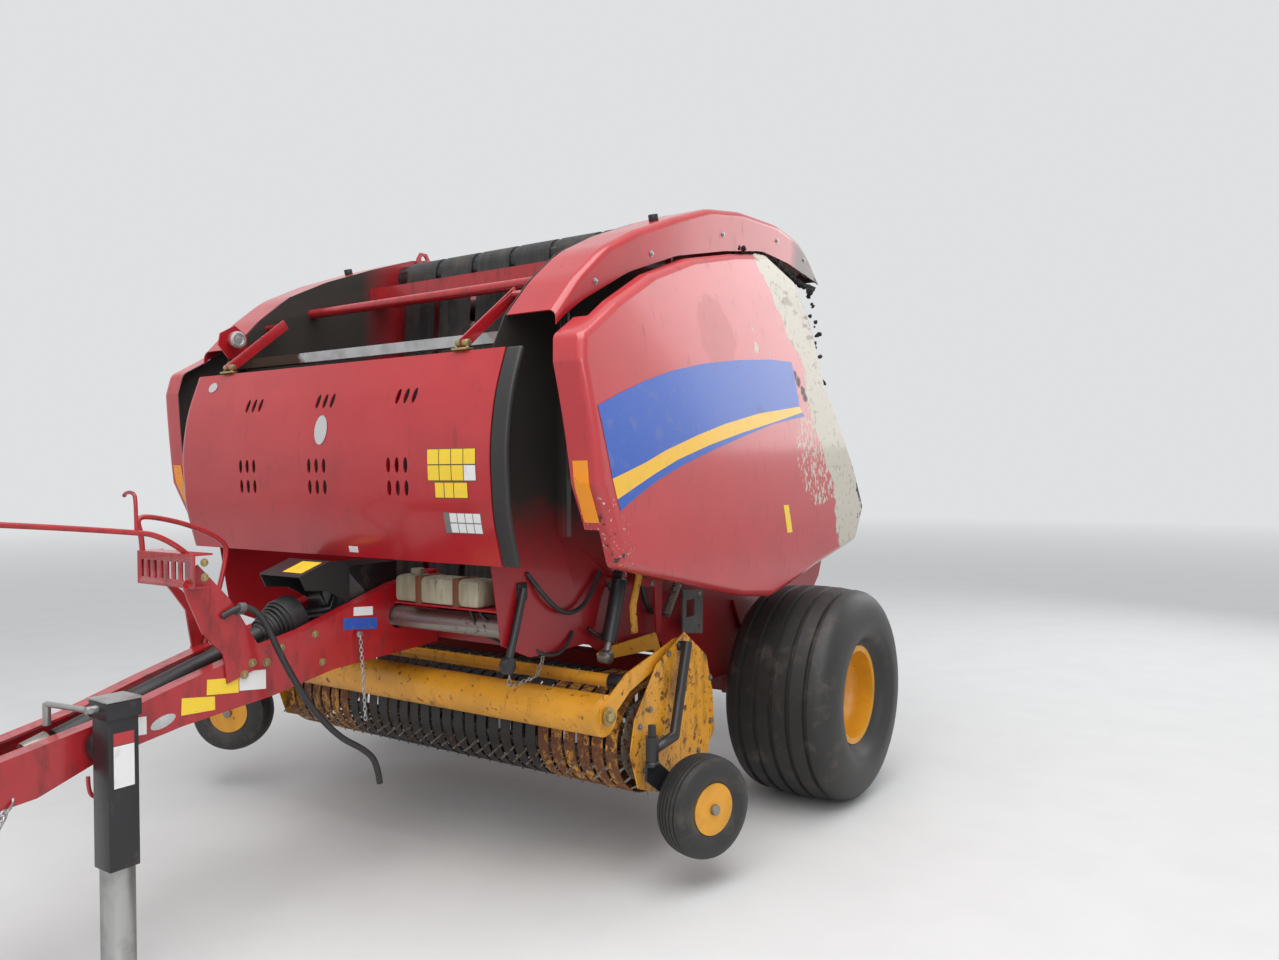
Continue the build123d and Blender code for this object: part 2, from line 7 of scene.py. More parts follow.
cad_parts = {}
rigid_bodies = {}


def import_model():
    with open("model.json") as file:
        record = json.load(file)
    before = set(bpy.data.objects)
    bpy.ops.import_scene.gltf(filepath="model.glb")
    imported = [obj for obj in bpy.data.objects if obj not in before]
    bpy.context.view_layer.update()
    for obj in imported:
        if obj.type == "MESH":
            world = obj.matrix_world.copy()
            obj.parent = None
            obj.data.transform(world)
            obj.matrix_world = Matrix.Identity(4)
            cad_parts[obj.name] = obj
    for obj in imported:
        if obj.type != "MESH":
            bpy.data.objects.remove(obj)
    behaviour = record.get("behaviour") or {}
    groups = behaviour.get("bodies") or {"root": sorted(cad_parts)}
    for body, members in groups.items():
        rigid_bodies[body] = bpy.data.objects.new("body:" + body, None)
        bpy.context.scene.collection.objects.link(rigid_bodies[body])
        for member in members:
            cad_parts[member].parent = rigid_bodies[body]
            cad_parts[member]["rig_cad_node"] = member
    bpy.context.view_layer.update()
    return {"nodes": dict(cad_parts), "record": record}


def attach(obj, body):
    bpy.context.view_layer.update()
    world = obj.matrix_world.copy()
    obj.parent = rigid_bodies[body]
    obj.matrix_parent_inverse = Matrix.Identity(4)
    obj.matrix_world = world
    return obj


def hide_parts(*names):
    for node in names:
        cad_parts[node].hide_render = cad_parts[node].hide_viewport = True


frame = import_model()
nodes = frame["nodes"]

# Metres. The shapes are measured from the middle of the axle on the ground,
# and AXLE_Y moves them along Y into the frame of the solids.
AXLE_Y = 1.077
WHEEL_X = 1.17
WHEEL_Z = 0.492
FULL_TURN = 2 * pi
SIDES = (("left", 1), ("right", -1))
SHEET = 0.004
# Where labels start from before they are pressed on a panel
BEFORE_COVER, BESIDE_SHIELD = -1.98, 1.28
LABEL_GAP, LABEL_THICKNESS = 0.0002, 0.0006

RED = (0.4, 0.008, 0.014)
SHIELD_RED = (0.45, 0.028, 0.034)
RAIL_RED = (0.36, 0.006, 0.012)
YELLOW = (0.74, 0.33, 0.02)
BLACK = (0.012, 0.012, 0.014)
RUBBER = (0.022, 0.021, 0.02)
RUST = (0.14, 0.045, 0.015)
DUST = (0.3, 0.24, 0.18)
# Dark grime colour; on the side sheets' upper front it is used as painted shade
GREASE_AND_SHADE = (0.018, 0.014, 0.011)
ZINC = (0.42, 0.42, 0.41)
BARE_STEEL = (0.3, 0.28, 0.25)
BLUE = (0.02, 0.09, 0.42)
LABEL_YELLOW = (0.86, 0.6, 0.03)
LABEL_WHITE = (0.75, 0.75, 0.74)
ASH = (0.52, 0.48, 0.4)
CHAR = (0.006, 0.005, 0.005)
SCORCHED = (0.2, 0.165, 0.15)
MOULDING = (0.075, 0.072, 0.07)


def at(x, y, z):
    return Vector((x, y + AXLE_Y, z))


# Finishes

class Finish:
    """A material whose layers are mixed one after another over a base colour."""

    def __init__(self, name, colour, rough, metal=0.0, coat=0.0):
        self.material = bpy.data.materials.new(name)
        self.material.use_nodes = True
        self.tree = self.material.node_tree
        self.shader = self.tree.nodes["Principled BSDF"]
        self.shader.inputs["Metallic"].default_value = metal
        self.shader.inputs["Coat Weight"].default_value = coat
        self.shader.inputs["Coat Roughness"].default_value = 0.12
        self.place = self.add("ShaderNodeTexCoord").outputs["Object"]
        self.colour = (*colour, 1)
        self.rough = rough

    def add(self, kind, **values):
        node = self.tree.nodes.new(kind)
        for key, value in values.items():
            setattr(node, key, value)
        return node

    def link(self, source, target):
        """Links an output to a socket, or sets a plain value there."""
        if isinstance(source, bpy.types.NodeSocket):
            self.tree.links.new(source, target)
        else:
            target.default_value = source

    def noise(self, scale, detail=4.0, stretch=(1, 1, 1), shift=(0, 0, 0)):
        mapping = self.add("ShaderNodeMapping")
        mapping.inputs["Scale"].default_value = stretch
        mapping.inputs["Location"].default_value = shift
        self.link(self.place, mapping.inputs["Vector"])
        node = self.add("ShaderNodeTexNoise")
        node.inputs["Scale"].default_value = scale
        node.inputs["Detail"].default_value = detail
        node.inputs["Roughness"].default_value = 0.6
        self.link(mapping.outputs["Vector"], node.inputs["Vector"])
        return node.outputs["Fac"]

    def math(self, operation, a, b=0.0):
        node = self.add("ShaderNodeMath", operation=operation)
        self.link(a, node.inputs[0])
        self.link(b, node.inputs[1])
        return node.outputs[0]

    def above(self, value, low, high):
        """0 below low, 1 above high and even in between."""
        node = self.add("ShaderNodeMapRange")
        node.inputs["From Min"].default_value = low
        node.inputs["From Max"].default_value = high
        self.link(value, node.inputs["Value"])
        return node.outputs["Result"]

    def below(self, value, low, high):
        return self.above(self.math("MULTIPLY", value, -1.0), -high, -low)

    def both(self, a, b):
        return self.math("MULTIPLY", a, b)

    def apart(self, value, middle):
        """How far a value is from a middle one."""
        return self.math("ABSOLUTE", self.math("SUBTRACT", value, middle))

    def axis(self, name):
        split = self.add("ShaderNodeSeparateXYZ")
        self.link(self.place, split.inputs["Vector"])
        return split.outputs[name]

    def layer(self, share, colour, rough=None):
        """Lays colour, and its roughness if given, over what is there, by share."""
        mix = self.add("ShaderNodeMix", data_type="RGBA")
        self.link(share, mix.inputs["Factor"])
        self.link(self.colour, mix.inputs["A"])
        self.link((*colour, 1), mix.inputs["B"])
        self.colour = mix.outputs["Result"]
        if rough is not None:
            blend = self.add("ShaderNodeMix", data_type="FLOAT")
            self.link(share, blend.inputs["Factor"])
            self.link(self.rough, blend.inputs["A"])
            self.link(rough, blend.inputs["B"])
            self.rough = blend.outputs["Result"]
        return self

    def patches(self, scale, low, high, colour, rough=None, stretch=(1, 1, 1)):
        share = self.above(self.noise(scale, 6.0, stretch), low, high)
        return self.layer(share, colour, rough)

    def ragged(self, value, scale, reach):
        """Adds noise of that reach to a value, so that its edge runs unevenly."""
        noise = self.math("SUBTRACT", self.noise(scale, 5.0), 0.5)
        return self.math("ADD", value, self.math("MULTIPLY", noise, reach))

    def spot(self, centre, radius, scale=20.0, reach=0.06):
        """1 within a ragged ball about the centre."""
        node = self.add("ShaderNodeVectorMath", operation="DISTANCE")
        self.link(self.place, node.inputs[0])
        node.inputs[1].default_value = centre
        inward = self.math("SUBTRACT", radius, node.outputs["Value"])
        return self.above(self.ragged(inward, scale, reach), 0.0, 0.01)

    def beyond(self, slope_y, slope_z, start, scale=9.0, reach=0.1, soft=0.01):
        """1 where slope_y * y + slope_z * z is over start, with a ragged edge."""
        y = self.math("MULTIPLY", self.axis("Y"), slope_y)
        z = self.math("MULTIPLY", self.axis("Z"), slope_z)
        value = self.math("SUBTRACT", self.math("ADD", y, z), start)
        return self.above(self.ragged(value, scale, reach), 0.0, soft)

    def bumps(self, scale, height, distance=0.002):
        node = self.add("ShaderNodeBump")
        node.inputs["Strength"].default_value = height
        node.inputs["Distance"].default_value = distance
        self.link(self.noise(scale, 3.0), node.inputs["Height"])
        self.link(node.outputs["Normal"], self.shader.inputs["Normal"])
        return self

    def done(self):
        self.link(self.colour, self.shader.inputs["Base Color"])
        self.link(self.rough, self.shader.inputs["Roughness"])
        return self.material


def darker(colour, share):
    return tuple(c * share for c in colour)


def mixed(a, b, share):
    return tuple(x + (y - x) * share for x, y in zip(a, b))


def red_paint(name, colour=RED, dirt=0.6, rust=0.7):
    paint = Finish(name, colour, 0.3, coat=0.5)
    paint.patches(1.3, 0.45, 0.75, mixed(colour, (0.52, 0.045, 0.05), 0.45))
    paint.patches(6.0, 0.5, 0.9, darker(colour, 0.8))
    paint.patches(24.0, dirt, dirt + 0.25, mixed(colour, GREASE_AND_SHADE, 0.6), 0.6, (1, 1, 0.35))
    paint.patches(70.0, rust, rust + 0.05, RUST, 0.8)
    return paint.bumps(90.0, 0.03)


def grey_inside(paint, side):
    """A shield's inner faces, which look towards the middle, are bare grey moulding."""
    way = paint.add("ShaderNodeSeparateXYZ")
    paint.link(paint.add("ShaderNodeTexCoord").outputs["Normal"], way.inputs["Vector"])
    inward = paint.math("MULTIPLY", way.outputs["X"], -side)
    paint.layer(paint.above(inward, 0.25, 0.35), MOULDING, 0.7)
    return paint


def burnt_shield_paint():
    """The left shield's paint: blistered pale and charred along its rear edge."""
    paint = red_paint("burnt shield red", SHIELD_RED)
    dull = paint.math("MULTIPLY", paint.spot(at(1.17, -0.93, 2.09), 0.15, 14.0, 0.12), 0.35)
    paint.layer(dull, (0.34, 0.06, 0.055), 0.6)
    pale = paint.beyond(1.0, 0.404, AXLE_Y + 0.61, 3.2, 0.42)
    paint.layer(pale, ASH, 0.85)
    for y, z, radius in BLISTERS:
        paint.layer(paint.spot(at(1.19, y, z), radius, 26.0, 0.07), ASH, 0.85)
    speckle = paint.above(paint.noise(58.0, 3.0, (1, 1, 0.6)), 0.52, 0.56)
    zone = paint.spot(at(1.22, -0.08, 1.62), 0.25, 8.0, 0.1)
    paint.layer(paint.both(speckle, zone), ASH, 0.85)
    flecks = paint.above(paint.noise(75.0, 4.0), 0.62, 0.65)
    low_edge = paint.spot(at(1.22, -1.8, 1.27), 0.19, 12.0, 0.15)
    paint.layer(paint.both(flecks, low_edge), ASH, 0.8)
    grime = paint.above(paint.noise(38.0, 4.0, (1, 1, 1), (3, 1, 2)), 0.6, 0.66)
    paint.layer(paint.both(grime, low_edge), GREASE_AND_SHADE, 0.7)
    scorch = paint.above(paint.noise(30.0, 5.0), 0.56, 0.7)
    paint.layer(paint.both(scorch, pale), mixed(ASH, GREASE_AND_SHADE, 0.55), 0.9)
    paint.layer(paint.beyond(1.0, 0.404, AXLE_Y + 0.93, 16.0, 0.22), CHAR, 0.95)
    for y, z in ((-0.27, 1.97), (-0.24, 1.94), (-0.205, 1.9), (-0.19, 1.87)):
        paint.layer(paint.spot(at(1.2, y, z), 0.028, 45.0, 0.05), CHAR, 0.95)
    return grey_inside(paint, 1)


def burnt_deck_paint():
    paint = red_paint("burnt deck red")
    paint.layer(paint.beyond(1.0, -0.15, AXLE_Y - 0.36, 7.0, 0.1, 0.12), SCORCHED, 0.75)
    paint.layer(paint.beyond(1.0, 0.0, AXLE_Y + 0.33, 22.0, 0.14), CHAR, 0.95)
    return paint


def yellow_paint(name, rust, dirt=0.6):
    paint = Finish(name, YELLOW, 0.42, coat=0.15)
    paint.patches(5.0, 0.45, 0.8, darker(YELLOW, 0.65))
    paint.patches(14.0, dirt, dirt + 0.25, mixed(GREASE_AND_SHADE, RUST, 0.4), 0.65, (1, 1, 0.4))
    paint.patches(32.0, rust, rust + 0.08, RUST, 0.8)
    paint.patches(90.0, rust + 0.06, rust + 0.12, darker(RUST, 0.5), 0.85)
    return paint.bumps(120.0, 0.1)


def side_plate_paint():
    """Rust runs down the pickup's sides, and all outside their plates is black."""
    paint = yellow_paint("pickup side yellow", 0.56, 0.5)
    paint.patches(42.0, 0.58, 0.74, mixed(YELLOW, RUST, 0.75), 0.7, (1, 0.8, 0.3))
    paint.layer(paint.above(paint.apart(paint.axis("X"), 0.0), 1.053, 1.0534), BLACK, 0.4)
    return paint


def band_paint():
    """Yellow, rusty bands at both ends and blackened ones in between."""
    paint = yellow_paint("band yellow", 0.47, 0.45)
    paint.patches(30.0, 0.45, 0.6, RUST, 0.8, (1, 0.3, 0.3))
    inner = paint.below(paint.apart(paint.axis("X"), 0.03), 0.56, 0.561)
    paint.layer(inner, (0.01, 0.008, 0.007), 0.55)
    streaks = paint.above(paint.noise(50.0, 4.0, (1, 0.3, 0.3)), 0.6, 0.7)
    paint.layer(paint.both(streaks, inner), darker(RUST, 0.5), 0.8)
    return paint


def sheet_paint():
    """Dull red side sheets, with painted shade darkening their upper front between cover and shield."""
    paint = Finish("sheet red", darker(RAIL_RED, 0.75), 0.4, coat=0.3)
    paint.patches(4.0, 0.5, 0.9, darker(RAIL_RED, 0.6))
    paint.patches(14.0, 0.62, 0.95, mixed(darker(RAIL_RED, 0.75), GREASE_AND_SHADE, 0.35), 0.6, (1, 1, 0.6))
    # Painted shade: the sheets' upper front, in shadow between cover and shield, is darkened nearly to black
    front = paint.below(paint.axis("Y"), AXLE_Y - 1.05, AXLE_Y - 0.85)
    high = paint.above(paint.ragged(paint.axis("Z"), 5.0, 0.3), 1.2, 1.45)
    paint.layer(paint.both(front, high), GREASE_AND_SHADE, 0.75)
    return paint.bumps(90.0, 0.03)


def bottle_paint():
    """A stained cream bottle with dark straps, on a red shelf."""
    paint = Finish("oil bottle", (0.42, 0.38, 0.27), 0.45)
    paint.patches(9.0, 0.42, 0.7, (0.2, 0.17, 0.11), 0.6, (1, 1, 0.3))
    paint.patches(30.0, 0.55, 0.7, (0.1, 0.07, 0.05), 0.7, (1, 1, 0.2))
    for middle in (0.4, 0.59):
        paint.layer(paint.below(paint.apart(paint.axis("X"), middle), 0.0154, 0.0156), RUST, 0.7)
    paint.layer(paint.below(paint.axis("Z"), 1.0605, 1.061), RAIL_RED, 0.4)
    return paint


def lamp_paint():
    """Red and amber lenses behind a red bar."""
    paint = Finish("rear lamps", RAIL_RED, 0.35, coat=0.4)
    rear = paint.above(paint.axis("Y"), AXLE_Y + 1.191, AXLE_Y + 1.192)
    paint.layer(rear, (0.45, 0.006, 0.006), 0.15)
    outer = paint.above(paint.apart(paint.axis("X"), 0.0), 0.779, 0.78)
    paint.layer(paint.both(rear, outer), (0.7, 0.18, 0.008), 0.15)
    return paint


def shelf_paint():
    paint = bare_metal("shelf zinc", (0.5, 0.5, 0.5), 0.74, 0.6, 0.3)
    charred = paint.below(paint.ragged(paint.axis("X"), 6.0, 0.5), -0.36, -0.3)
    paint.layer(charred, (0.07, 0.045, 0.03), 0.8)
    return paint


def rubber(name, dust=0.55):
    paint = Finish(name, RUBBER, 0.5)
    paint.patches(9.0, dust, dust + 0.35, mixed(RUBBER, DUST, 0.35), 0.75)
    paint.patches(60.0, 0.55, 0.8, darker(RUBBER, 0.45), 0.4)
    return paint.bumps(220.0, 0.12)


def belt_rubber():
    paint = Finish("belt rubber", (0.014, 0.014, 0.015), 0.45)
    paint.patches(60.0, 0.45, 0.75, (0.05, 0.048, 0.045), 0.7, (1, 0.03, 0.03))
    paint.patches(7.0, 0.5, 0.85, mixed(RUBBER, DUST, 0.25), 0.8)
    return paint.bumps(260.0, 0.15)


def dark_paint(name, colour=BLACK, dust=0.6, rough=0.38):
    paint = Finish(name, colour, rough, coat=0.1)
    paint.patches(12.0, dust, dust + 0.3, mixed(colour, DUST, 0.35), 0.7)
    paint.patches(70.0, 0.7, 0.75, RUST, 0.8)
    return paint.bumps(150.0, 0.06)


def bare_metal(name, colour, rust, metal=0.8, rough=0.38):
    paint = Finish(name, colour, rough, metal=metal)
    paint.patches(10.0, 0.45, 0.8, darker(colour, 0.6), rough + 0.15)
    paint.patches(40.0, rust, rust + 0.12, RUST, 0.85)
    return paint.bumps(200.0, 0.08)


def label_paint(name, colour, rough=0.35):
    paint = Finish(name, colour, rough, coat=0.2)
    paint.patches(20.0, 0.55, 0.85, mixed(colour, DUST, 0.4), 0.6)
    paint.patches(60.0, 0.68, 0.72, GREASE_AND_SHADE, 0.7)
    return paint


# Pale blisters on the left shield, as y, z and radius
BLISTERS = [
    (-0.905, 2.375, 0.035), (-0.84, 2.36, 0.03), (-0.86, 2.315, 0.03), (-0.82, 2.3, 0.022),
    (-0.61, 2.145, 0.03), (-0.51, 2.135, 0.024), (-0.61, 2.06, 0.03), (-0.48, 2.05, 0.02),
    (-0.8, 2.08, 0.014), (-0.86, 2.07, 0.008), (-0.36, 1.075, 0.018), (-0.3, 1.13, 0.012),
]

FINISHES = {
    "panel_red": red_paint("panel red"),
    "shield_red": burnt_shield_paint(),
    "plain_shield_red": grey_inside(red_paint("plain shield red", SHIELD_RED), -1),
    "deck_red": burnt_deck_paint(),
    "frame_red": red_paint("frame red", RAIL_RED, 0.5, 0.68),
    "sheet_red": sheet_paint(),
    "yellow": yellow_paint("pickup yellow", 0.6),
    "wheel_yellow": yellow_paint("wheel yellow", 0.68, 0.7),
    "side_yellow": side_plate_paint(),
    "band_yellow": band_paint(),
    "rubber": rubber("tyre rubber"),
    "belt": belt_rubber(),
    "seal": rubber("seal rubber", 0.7),
    "black": dark_paint("black paint"),
    "zinc": bare_metal("zinc plate", ZINC, 0.72),
    "gold_zinc": bare_metal("yellow zinc plate", (0.45, 0.36, 0.18), 0.7),
    "shelf": shelf_paint(),
    "steel": bare_metal("worn steel", BARE_STEEL, 0.6),
    "tine": bare_metal("tine steel", (0.36, 0.33, 0.28), 0.5, 0.6, 0.5),
    "grey": dark_paint("grey casting", (0.1, 0.1, 0.1), 0.5, 0.55),
    "plastic": dark_paint("black plastic", (0.014, 0.014, 0.015), 0.65, 0.5),
    "char": Finish("char", CHAR, 0.95).patches(40.0, 0.5, 0.7, (0.06, 0.055, 0.05)),
    "bottle": bottle_paint(),
    "lamps": lamp_paint(),
    "blue": label_paint("band blue", BLUE),
    "stripe": label_paint("stripe yellow", (0.8, 0.46, 0.03)),
    "label_yellow": label_paint("label yellow", LABEL_YELLOW),
    "label_white": label_paint("label white", LABEL_WHITE),
    "reflector": label_paint("reflector amber", (0.9, 0.3, 0.005), 0.2),
    "print": label_paint("label print", (0.05, 0.04, 0.02)),
    "print_grey": label_paint("label print grey", (0.16, 0.16, 0.16)),
    "badge": bare_metal("badge silver", (0.62, 0.62, 0.62), 0.8, 0.7, 0.25),
}
FINISHES = {key: paint.done() for key, paint in FINISHES.items()}

NODE_FINISH = {
    "panel_red": ["front_cover", "deck_right"],
    "plain_shield_red": ["shield_right"],
    "shield_red": ["shield_left"],
    "deck_red": ["deck_left"],
    "frame_red": [
        "drawbar_rail_left", "drawbar_rail_right", "hitch", "hose_bracket", "cover_struts",
        "top_frame", "gate_frame",
    ],
    "sheet_red": [
        "side_sheet_left", "side_sheet_right", "frame_beams", "gate_sheet_left",
        "gate_sheet_right", "axle", "feed_rotor",
    ],
    "lamps": ["lamp_bar"],
    "yellow": ["windguard", "pickup_beams"],
    "wheel_yellow": ["rim_left", "rim_right", "gauge_rim_left", "gauge_rim_right"],
    "band_yellow": ["pickup_bands"],
    "side_yellow": ["pickup_side_left", "pickup_side_right"],
    "rubber": ["tyre_left", "tyre_right", "gauge_tyre_left", "gauge_tyre_right"],
    "belt": ["front_belts", "gate_belts"],
    "seal": ["cover_seal"],
    "black": [
        "jack_post", "caster_left", "caster_right", "front_rolls", "gate_rolls",
        "gate_barrel_left", "gate_barrel_right", "lift_barrel", "gearbox",
    ],
    "zinc": ["jack_leg"],
    "shelf": ["shelf_rail"],
    "steel": ["gate_rod_left", "gate_rod_right", "lift_rod", "cross_drive", "drive_shaft"],
    "tine": ["pickup_reel"],
    "plastic": ["shaft_guard"],
}


# Modelling helpers

def edit_mode():
    bpy.ops.object.mode_set(mode="EDIT")


def object_mode():
    bpy.ops.object.mode_set(mode="OBJECT")


def select_mesh():
    bpy.ops.mesh.select_all(action="SELECT")


def side_line(x, rows):
    """Points at one x from rows of y and z."""
    return [at(x, y, z) for y, z in rows]


def mirrored(points):
    return [Vector((-p.x, p.y, p.z)) for p in points]


def clear_selection():
    if bpy.context.object and bpy.context.object.mode != "OBJECT":
        object_mode()
    bpy.ops.object.select_all(action="DESELECT")


def choose(obj):
    clear_selection()
    bpy.context.view_layer.objects.active = obj
    obj.select_set(True)


def settle(obj, name, finish, body="frame", mate=None):
    """Puts the finished piece's place into its mesh, paints it and hangs it on its body."""
    choose(obj)
    bpy.ops.object.transform_apply()
    obj.name = name
    obj.data.materials.clear()
    obj.data.materials.append(FINISHES[finish])
    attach(obj, body)
    if mate:
        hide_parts(mate)
    obj.select_set(False)
    return obj


def modify(obj, kind, **values):
    """Adds a modifier, sets it and applies it."""
    choose(obj)
    bpy.ops.object.modifier_add(type=kind)
    modifier = obj.modifiers[-1]
    for key, value in values.items():
        setattr(modifier, key, value)
    bpy.ops.object.modifier_apply(modifier=modifier.name)
    return obj


def smooth(obj, degrees=32):
    choose(obj)
    bpy.ops.object.shade_smooth_by_angle(angle=radians(degrees))
    return obj


def extrude(step):
    bpy.ops.mesh.extrude_region_move(TRANSFORM_OT_translate={"value": Vector(step)})


def chain(points, fresh=True):
    """Leaves edit mode open on a line of edges drawn by extruding one vertex."""
    if fresh:
        clear_selection()
    else:
        bpy.ops.mesh.select_all(action="DESELECT")
    bpy.ops.mesh.primitive_plane_add(size=0.01, location=points[0])
    if fresh:
        edit_mode()
        select_mesh()
    bpy.ops.mesh.merge(type="CENTER")
    for a, b in zip(points, points[1:]):
        extrude(Vector(b) - Vector(a))
    return bpy.context.object


def merge_near(distance):
    select_mesh()
    bpy.ops.mesh.remove_doubles(threshold=distance)
    select_mesh()


def filled(points, near=0.00002):
    """Leaves edit mode open on a face filled from its outline."""
    obj = chain(list(points) + [points[0]])
    merge_near(near)
    bpy.ops.mesh.edge_face_add()
    return obj


def mend():
    """Merges doubles, turns the faces outwards and leaves edit mode."""
    merge_near(0.00005)
    bpy.ops.mesh.normals_make_consistent(inside=False)
    object_mode()


def lathe(profile, centre, axis, steps):
    """A ring or disc: (along, radius) points spun about the axis through the centre."""
    way = Vector(axis).normalized()
    side = way.orthogonal().normalized()
    points = [centre + way * along + side * radius for along, radius in profile]
    obj = chain(points + points[:1])
    merge_near(0.00002)
    bpy.ops.mesh.spin(steps=steps, angle=FULL_TURN, center=centre, axis=way)
    mend()
    return smooth(obj)


def plate(points, thickness):
    """A flat plate from its outline, thickened along a vector."""
    obj = filled(points)
    extrude(thickness)
    mend()
    return obj


def pipe(points, radius, curved=True, steps=3, finely=6):
    """A round bar, pipe or cord: a curve through the points, with open edges closed."""
    obj = chain([at(*point) for point in points])
    object_mode()
    bpy.ops.object.convert(target="CURVE")
    if curved:
        edit_mode()
        bpy.ops.curve.select_all(action="SELECT")
        bpy.ops.curve.spline_type_set(type="NURBS")
        object_mode()
        obj.data.splines[0].order_u = 3
        obj.data.splines[0].use_endpoint_u = True
    obj.data.resolution_u = finely
    obj.data.bevel_depth = radius
    obj.data.bevel_resolution = steps
    obj.data.use_fill_caps = True
    return obj


def rod(points, radius, curved=True):
    """A round bar or pipe as a mesh."""
    obj = pipe(points, radius, curved)
    bpy.ops.object.convert(target="MESH")
    return smooth(obj, 45)


def joined(parts):
    clear_selection()
    for part in parts:
        part.select_set(True)
    bpy.context.view_layer.objects.active = parts[0]
    if len(parts) > 1:
        bpy.ops.object.join()
    return bpy.context.view_layer.objects.active


def drum(centre, axis, radius, depth, sides=24, bevel=0.0):
    """A cylinder from its centre, with its edges rounded."""
    clear_selection()
    turn = Vector(axis).to_track_quat("Z", "Y").to_euler()
    bpy.ops.mesh.primitive_cylinder_add(
        vertices=sides, radius=radius, depth=depth, location=centre, rotation=turn)
    obj = bpy.context.object
    if bevel:
        modify(obj, "BEVEL", width=bevel, segments=2)
    return smooth(obj, 40)


def box(low, high, bevel=0.0):
    clear_selection()
    middle = (Vector(low) + Vector(high)) / 2
    size = Vector(high) - Vector(low)
    bpy.ops.mesh.primitive_cube_add(size=1, location=middle, scale=size)
    bpy.ops.object.transform_apply(location=False, rotation=False, scale=True)
    obj = bpy.context.object
    if bevel:
        modify(obj, "BEVEL", width=bevel, segments=2)
    return smooth(obj, 40)


def bolts(name, rows, finish, body="frame"):
    """Hexagon heads on washers: place, way out and radius of each."""
    parts = []
    for place, way, radius in rows:
        way = Vector(way).normalized()
        parts.append(drum(Vector(place) + way * radius * 0.12, way, radius * 1.5, radius * 0.25, 16))
        parts.append(drum(Vector(place) + way * radius * 0.55, way, radius, radius * 0.7, 6, radius * 0.12))
    return settle(joined(parts), name, finish, body)


def side_bolts(name, x, side, radius, rows, finish, body="frame"):
    """Bolts on a side's outer face, from rows of y and z."""
    way = (side, 0, 0)
    return bolts(name, [(place, way, radius) for place in side_line(side * x, rows)], finish, body)


def links(name, points, size, finish, body="frame"):
    """A chain of round wire links, each turned a quarter from the last."""
    parts = []
    points = [Vector(p) for p in points]
    pitch = size * 2.1
    count = 0
    for a, b in zip(points, points[1:]):
        way = b - a
        number = max(1, round(way.length / pitch))
        for k in range(number):
            clear_selection()
            bpy.ops.mesh.primitive_torus_add(
                major_segments=14, minor_segments=6, major_radius=size, minor_radius=size * 0.28)
            link = bpy.context.object
            link.scale = (1.35, 0.8, 1)
            bpy.ops.object.transform_apply()
            turn = way.to_track_quat("X", "Z")
            if count % 2:
                turn = turn @ Quaternion((1, 0, 0), radians(90))
            link.rotation_mode = "QUATERNION"
            link.rotation_quaternion = turn
            link.location = a + way * (k + 0.5) / number
            bpy.ops.object.transform_apply()
            parts.append(smooth(link, 60))
            count += 1
    return settle(joined(parts), name, finish, body)


def spring(name, start, end, radius, wire, turns, finish, body="frame"):
    """A coil spring: a small ring drawn round the axis by a screw."""
    start, end = Vector(start), Vector(end)
    way = end - start
    clear_selection()
    bpy.ops.mesh.primitive_circle_add(
        vertices=8, radius=wire, location=(radius, 0, 0), rotation=(radians(90), 0, 0))
    obj = bpy.context.object
    bpy.ops.object.transform_apply()
    modify(obj, "SCREW", angle=FULL_TURN * turns, screw_offset=way.length,
           steps=12 * turns, render_steps=12 * turns, use_smooth_shade=True)
    obj.rotation_euler = way.to_track_quat("Z", "Y").to_euler()
    obj.location = start
    edit_mode()
    bpy.ops.mesh.select_all(action="DESELECT")
    bpy.ops.mesh.select_non_manifold()
    bpy.ops.mesh.fill_holes(sides=8)
    mend()
    return settle(obj, name, finish, body)


def label(name, corners, target, along, finish, body, lift=0.0008):
    """A thin plate laid on a panel: its corners, drawn in front of it, are pressed on along an axis."""
    obj = filled(corners)
    bpy.ops.mesh.subdivide(number_cuts=9)
    object_mode()
    return press(obj, name, target, along, finish, body, lift)


def tiles(name, places, gap, target, finish, body, lift=0.0012):
    """Flat tiles pressed on the front of a panel: x and z limits of each, less a gap."""
    parts = []
    for x0, x1, z0, z1 in places:
        clear_selection()
        bpy.ops.mesh.primitive_grid_add(
            x_subdivisions=5, y_subdivisions=5, size=1, location=at((x0 + x1) / 2, BEFORE_COVER, (z0 + z1) / 2),
            rotation=(radians(90), 0, 0))
        bpy.context.object.scale = (x1 - x0 - gap, z1 - z0 - gap, 1)
        bpy.ops.object.transform_apply()
        parts.append(bpy.context.object)
    return press(joined(parts), name, target, "y", finish, body, lift)


def press(obj, name, target, along, finish, body, lift):
    modify(obj, "SHRINKWRAP", target=target, wrap_method="PROJECT", offset=lift,
           use_project_x=along == "x", use_project_y=along == "y",
           use_negative_direction=True, use_positive_direction=True)
    choose(obj)
    edit_mode()
    select_mesh()
    bpy.ops.mesh.normals_make_consistent(inside=False)
    object_mode()
    modify(obj, "SOLIDIFY", thickness=0.0005, offset=0)
    return settle(smooth(obj), name, finish, body)


def strip(name, low, high, target, finish, body, lift=0.0016):
    """A band between two lines of the side view, pressed on a panel from the side."""
    chain(low)
    obj = chain(high, fresh=False)
    select_mesh()
    bpy.ops.mesh.bridge_edge_loops(interpolation="LINEAR")
    select_mesh()
    bpy.ops.mesh.subdivide(number_cuts=7)
    object_mode()
    return press(obj, name, target, "x", finish, body, lift)


# Smooth copies of the solids

